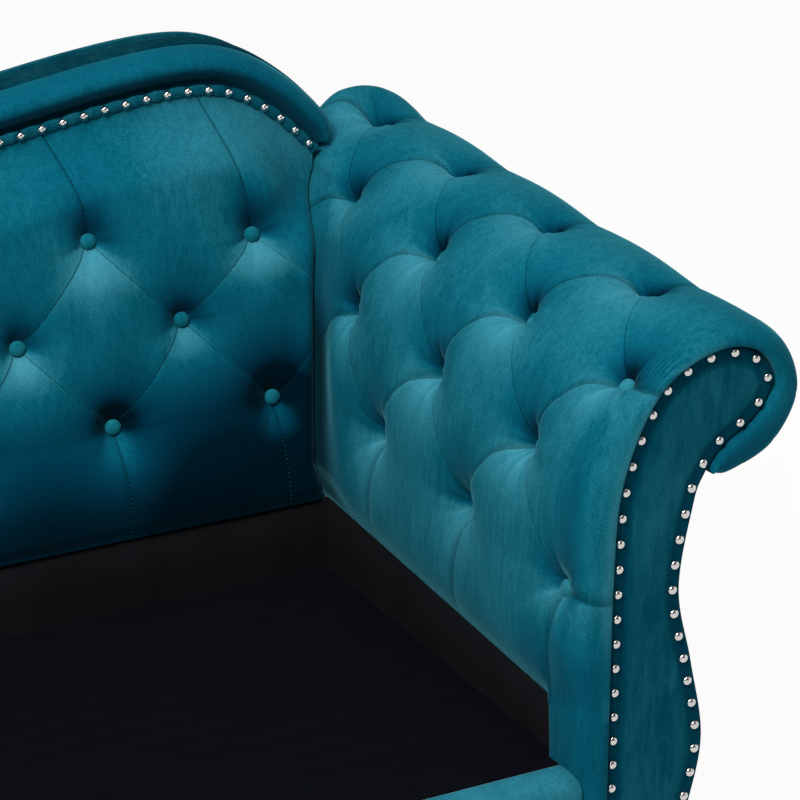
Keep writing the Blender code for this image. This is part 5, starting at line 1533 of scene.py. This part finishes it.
def grown(name, paths, tree, pitch=None):
    """The plain mesh that a tree grows along paths, at its own pitch or another one."""
    seed = path_object(name + "_path", paths)
    grower = seed.modifiers.new("grow", "NODES")
    grower.node_group = tree.tree
    if pitch:
        grower[tree.pitch] = pitch
    view = bpy.context.evaluated_depsgraph_get()
    mesh = bpy.data.meshes.new_from_object(seed.evaluated_get(view))
    mesh.name = name
    bpy.data.objects.remove(seed, do_unlink=True)
    return add_object(name, mesh)


def pitch_for(path, wanted):
    """A pitch near the wanted one that divides a path evenly."""
    total = lengths(np.asarray(path))[-1]
    return total / round(total / wanted) * 0.99999


def arm_nail_path(side):
    """Line of nails round one arm's front panel."""
    count, spare = 700, 12
    inner, outer = (even_points(scroll_curve(-1, SCROLL_LAST, inset), count)
                    for inset in (NAIL_INSET, NAIL_INSET_OUTSIDE))
    outside = smoothstep(0.48, 0.62, np.linspace(0, 1, count))[:, None]
    line = (inner * (1 - outside) + outer * outside)[spare:-spare]
    return place(at_depth(line, BOARD_FRONT - GAP - PANEL_THICKNESS * ARM_NAIL_SEAT), side)


def crest_nail_path():
    """Line of nails along the crest's gimp."""
    curve = crest_curve(CREST_LINE_POINTS, CREST_LINE_END)
    run = lengths(curve)
    line = curve[(run > CREST_NAIL_END) & (run < run[-1] - CREST_NAIL_END)]
    return across(at_depth(line, CREST_NAIL_Y - CREST_NAIL_SEAT))


def back_stitch_paths():
    """Sewn crease lines of the back: the diamonds, and the pleats above and below them."""
    paths = []
    columns, rows = back_grid()
    skin = back_skin(columns, rows)[0]

    def on_skin(xs, row_values):
        """Points of the pad's face, a hair in front of it, along a line of the lattice."""
        spots = []
        for x, row in zip(xs, row_values):
            j = np.searchsorted(rows, row).clip(1, len(rows) - 1)
            share = (row - rows[j - 1]) / (rows[j] - rows[j - 1])
            line = skin[:, j - 1] * (1 - share) + skin[:, j] * share
            spots.append(read_curve(x, line[:, 0], line))
        return across(np.array(spots) - (0.0, STITCH_PROUD, 0.0))

    for column in range(-BACK_LAST_COLUMN, BACK_LAST_COLUMN + 1):
        x = column * BACK_HALF_PITCH
        for row in range(BACK_TOP):
            if (row + column + BACK_LAST_COLUMN) % 2:
                continue
            for step in (-1, 1):
                if abs(column + step) <= BACK_LAST_COLUMN:
                    share = np.linspace(*SIDE_STITCHED, 40)
                    paths.append(on_skin(x + step * BACK_HALF_PITCH * share, row + share))
        if (column + BACK_LAST_COLUMN) % 2 == 0:
            paths.append(on_skin(np.full(30, x), np.linspace(*LOW_PLEAT_STITCHED, 30)))
            high = np.linspace(*(BACK_TOP + share for share in HIGH_PLEAT_STITCHED), 30)
            roof = crest_height(x) - GIMP_WIDTH / 2
            lean = pleat_lean(back_row_height(BACK_TOP, x), roof, high - BACK_TOP)
            paths.append(on_skin(x - math.copysign(1, x) * lean, high))
    return paths


# Putting the sofa together

def build_arm(side, finishes, nails):
    """Every visible piece of one arm."""
    word = word_for(side)
    fit(arm_pad(side, finishes["arm"]), "teal_velvet", f"{word}_arm_tufted_pad", fill=0.85)
    buttons = covered_buttons(f"{word}_arm_buttons", arm_button_spots(side), finishes["button"])
    # Painted light makes the arm's buttons lighter, and painted shade makes the post darker, than plain
    # velvet
    fit(paint_light_level(buttons, ARM_BUTTON_PAINTED_LIGHT), "teal_velvet", f"{word}_arm_tufted_pad")
    post = paint_light_level(arm_post(side, finishes["border"]), POST_PAINTED_LIGHT)
    fit(post, "teal_velvet", f"{word}_arm_post_cover", fill=0.7)
    for end, board, turn in (("front", BOARD_FRONT, -1), ("rear", BOARD_REAR, 1)):
        back = board + turn * GAP
        face = back + turn * PANEL_THICKNESS
        panel = scroll_panel(f"{word}_{end}_panel", side, face, back, finishes["panel"])
        fit(panel, "teal_velvet", f"{word}_arm_{end}_panel")
    fit(outer_arm(side, finishes["panel"]), "teal_velvet", f"{word}_outer_arm_panel")
    path = arm_nail_path(side)
    row = grown(f"{word}_arm_nails", [path], nails, pitch_for(path, ARM_NAIL_PITCH))
    fit(row, "nailhead_nickel", f"{word}_arm_front_panel")
    start = place((0.0, -SEAT_DEPTH + LINING_END_GAP, 0.0), side)[:2]
    end = place((0.0, -LINING_END_GAP, 0.0), side)[:2]
    strip = lining_band(f"{word}_lining", start, end, (-side, 0.0), finishes["strip"])
    fit(strip, "black_cloth", f"{word}_arm_lining_strip", flat=(LINING_WIDTH, ARM_LINING_LENGTH),
        rests_on=[f"{word}_arm_tack_rail"])
    for end_name, y in LEG_YS.items():
        name = f"{end_name}_{word}_leg"
        centre = place((LEG_X, y, 0.0), side)[:2]
        fit(turned_leg(name + "_turned", centre, finishes["leg"]), "dark_wood", name)


def build_back(finishes, nails, stitches):
    """Every visible piece of the back."""
    fit(back_pad(finishes["back"]), "teal_velvet", "back_tufted_pad", fill=0.7)
    buttons = covered_buttons("back_buttons", back_button_spots(), finishes["button"])
    fit(buttons, "teal_velvet", "back_tufted_pad")
    fit(grown("back_stitches", back_stitch_paths(), stitches), "teal_velvet", "back_tufted_pad")
    fit(crest_border(finishes["border"], finishes["crest_top_shade"]), "teal_velvet", "crest_border", fill=0.8)
    fit(crest_gimp(finishes["panel"]), "teal_velvet", "crest_gimp")
    path = crest_nail_path()
    row = grown("crest_nails", [path], nails, pitch_for(path, CREST_NAIL_PITCH))
    fit(row, "nailhead_nickel", "crest_gimp")
    fit(outer_back(finishes["panel"]), "teal_velvet", "outer_back_panel")


def build_seat(finishes):
    """The seat's visible cloth."""
    # Painted light makes the rail's cover a little lighter than plain velvet
    rail = paint_light_level(front_rail_cover(finishes["border"]), RAIL_PAINTED_LIGHT)
    fit(rail, "teal_velvet", "front_rail_cover", fill=0.6)
    deck = deck_sheet(finishes["lining"])
    flat = (2 * (HALF - DECK_SIDE_GAP), -DECK_FRONT)
    fit(deck, "black_cloth", "deck_cloth", flat=flat, rests_on=["deck_pad"])
    start, end = (across((x, 0.0, 0.0))[:2] for x in (LINING_END_GAP - HALF, HALF - LINING_END_GAP))
    strip = lining_band("back_lining", start, end, (0.0, -1.0), finishes["strip"])
    fit(strip, "black_cloth", "back_lining_strip", flat=(LINING_WIDTH, BACK_LINING_LENGTH),
        rests_on=["back_tack_rail"])


def dress_frame(finishes):
    """Gives the solids that stay in view their finishes."""
    slots = {"black_cloth": "lining", "pine": "pine", "hardboard": "hardboard", "grey_felt": "felt",
             "webbing": "webbing", "steel": "steel", "dark_wood": "leg", "teal_velvet": "panel"}
    for row in frame["record"]["subparts"]:
        solid = frame["nodes"][row["node"]]
        solid.data.materials.clear()
        solid.data.materials.append(finishes[slots[row["material_slot"]]])


# Lamps, stage and camera

def area_light(name, place_at, target, size, energy):
    """A soft rectangular lamp aimed at a point."""
    data = bpy.data.lights.new(name, "AREA")
    data.shape = "RECTANGLE"
    data.size, data.size_y = size
    data.energy = energy
    lamp = add_object(name, data)
    aim = np.asarray(target, float) - place_at
    lamp.location = place_at
    tilt = math.acos(-aim[2] / np.linalg.norm(aim))
    lamp.rotation_euler = (tilt, 0.0, math.atan2(aim[1], aim[0]) - math.pi / 2)


def white_floor():
    """A white floor that keeps the shadow and looks as white as the backdrop."""
    corners = [(FLOOR_HALF * x, FLOOR_HALF * y, 0) for x, y in ((-1, -1), (1, -1), (1, 1), (-1, 1))]
    mesh = bpy.data.meshes.new("floor")
    mesh.from_pydata(corners, [], [(0, 1, 2, 3)])
    floor = add_object("floor", mesh)
    made = Finish("white floor", base_color=(0.86, 0.86, 0.86), roughness=0.8)
    seen = (made.rays("Is Camera Ray") + made.rays("Is Glossy Ray")) * FLOOR_GLOW
    glow = made.node("ShaderNodeEmission", {}, {"Color": WHITE, "Strength": 1.0})
    plain = Socket(made, made.shader.outputs[0])
    mixed = made.node("ShaderNodeMixShader", {}, {0: seen, 1: plain, 2: glow})
    made.feed(made.tree.nodes["Material Output"].inputs["Surface"], mixed)
    mesh.materials.append(made.material)


def white_backdrop():
    """A dim sky for light, which the camera, and reflections low down, see as a white backdrop."""
    made = Surroundings("studio")
    made.set("Color", SKY_COLOUR)
    made.set("Strength", SKY_STRENGTH)
    sky = Socket(made, made.shader.outputs[0])
    white = made.node("ShaderNodeBackground", {}, {"Color": WHITE})
    towards = made.node("ShaderNodeTexCoord", output="Generated")
    height = made.node("ShaderNodeSeparateXYZ", {}, {0: towards}, "Z")
    seen = made.rays("Is Glossy Ray") * made.between(height, *BACKDROP_FADE) + made.rays("Is Camera Ray")
    mixed = made.node("ShaderNodeMixShader", {}, {0: seen, 1: sky, 2: white})
    made.feed(made.tree.nodes["World Output"].inputs["Surface"], mixed)


def camera():
    """A long lens at the photograph's angle on the inside corner of the seat."""
    data = bpy.data.cameras.new("camera")
    data.lens = CAMERA_LENS
    data.sensor_width = CAMERA_SENSOR
    made = add_object("camera", data)
    made.location = CAMERA_PLACE
    made.rotation_euler = (math.radians(90 - CAMERA_PITCH), 0.0, math.radians(-CAMERA_YAW))
    bpy.context.scene.camera = made


def main():
    """Dresses the sofa, lights it and sets the camera."""
    bpy.context.scene.view_settings.view_transform = "Standard"
    camera()
    white_floor()
    white_backdrop()
    for lamp in LAMPS:
        area_light(*lamp)
    finishes = make_finishes()
    dress_frame(finishes)
    nails, stitches = nail_tree(finishes["nickel"]), stitch_tree(finishes["thread"])
    build_seat(finishes)
    build_back(finishes, nails, stitches)
    for side in (-1, 1):
        build_arm(side, finishes, nails)


main()
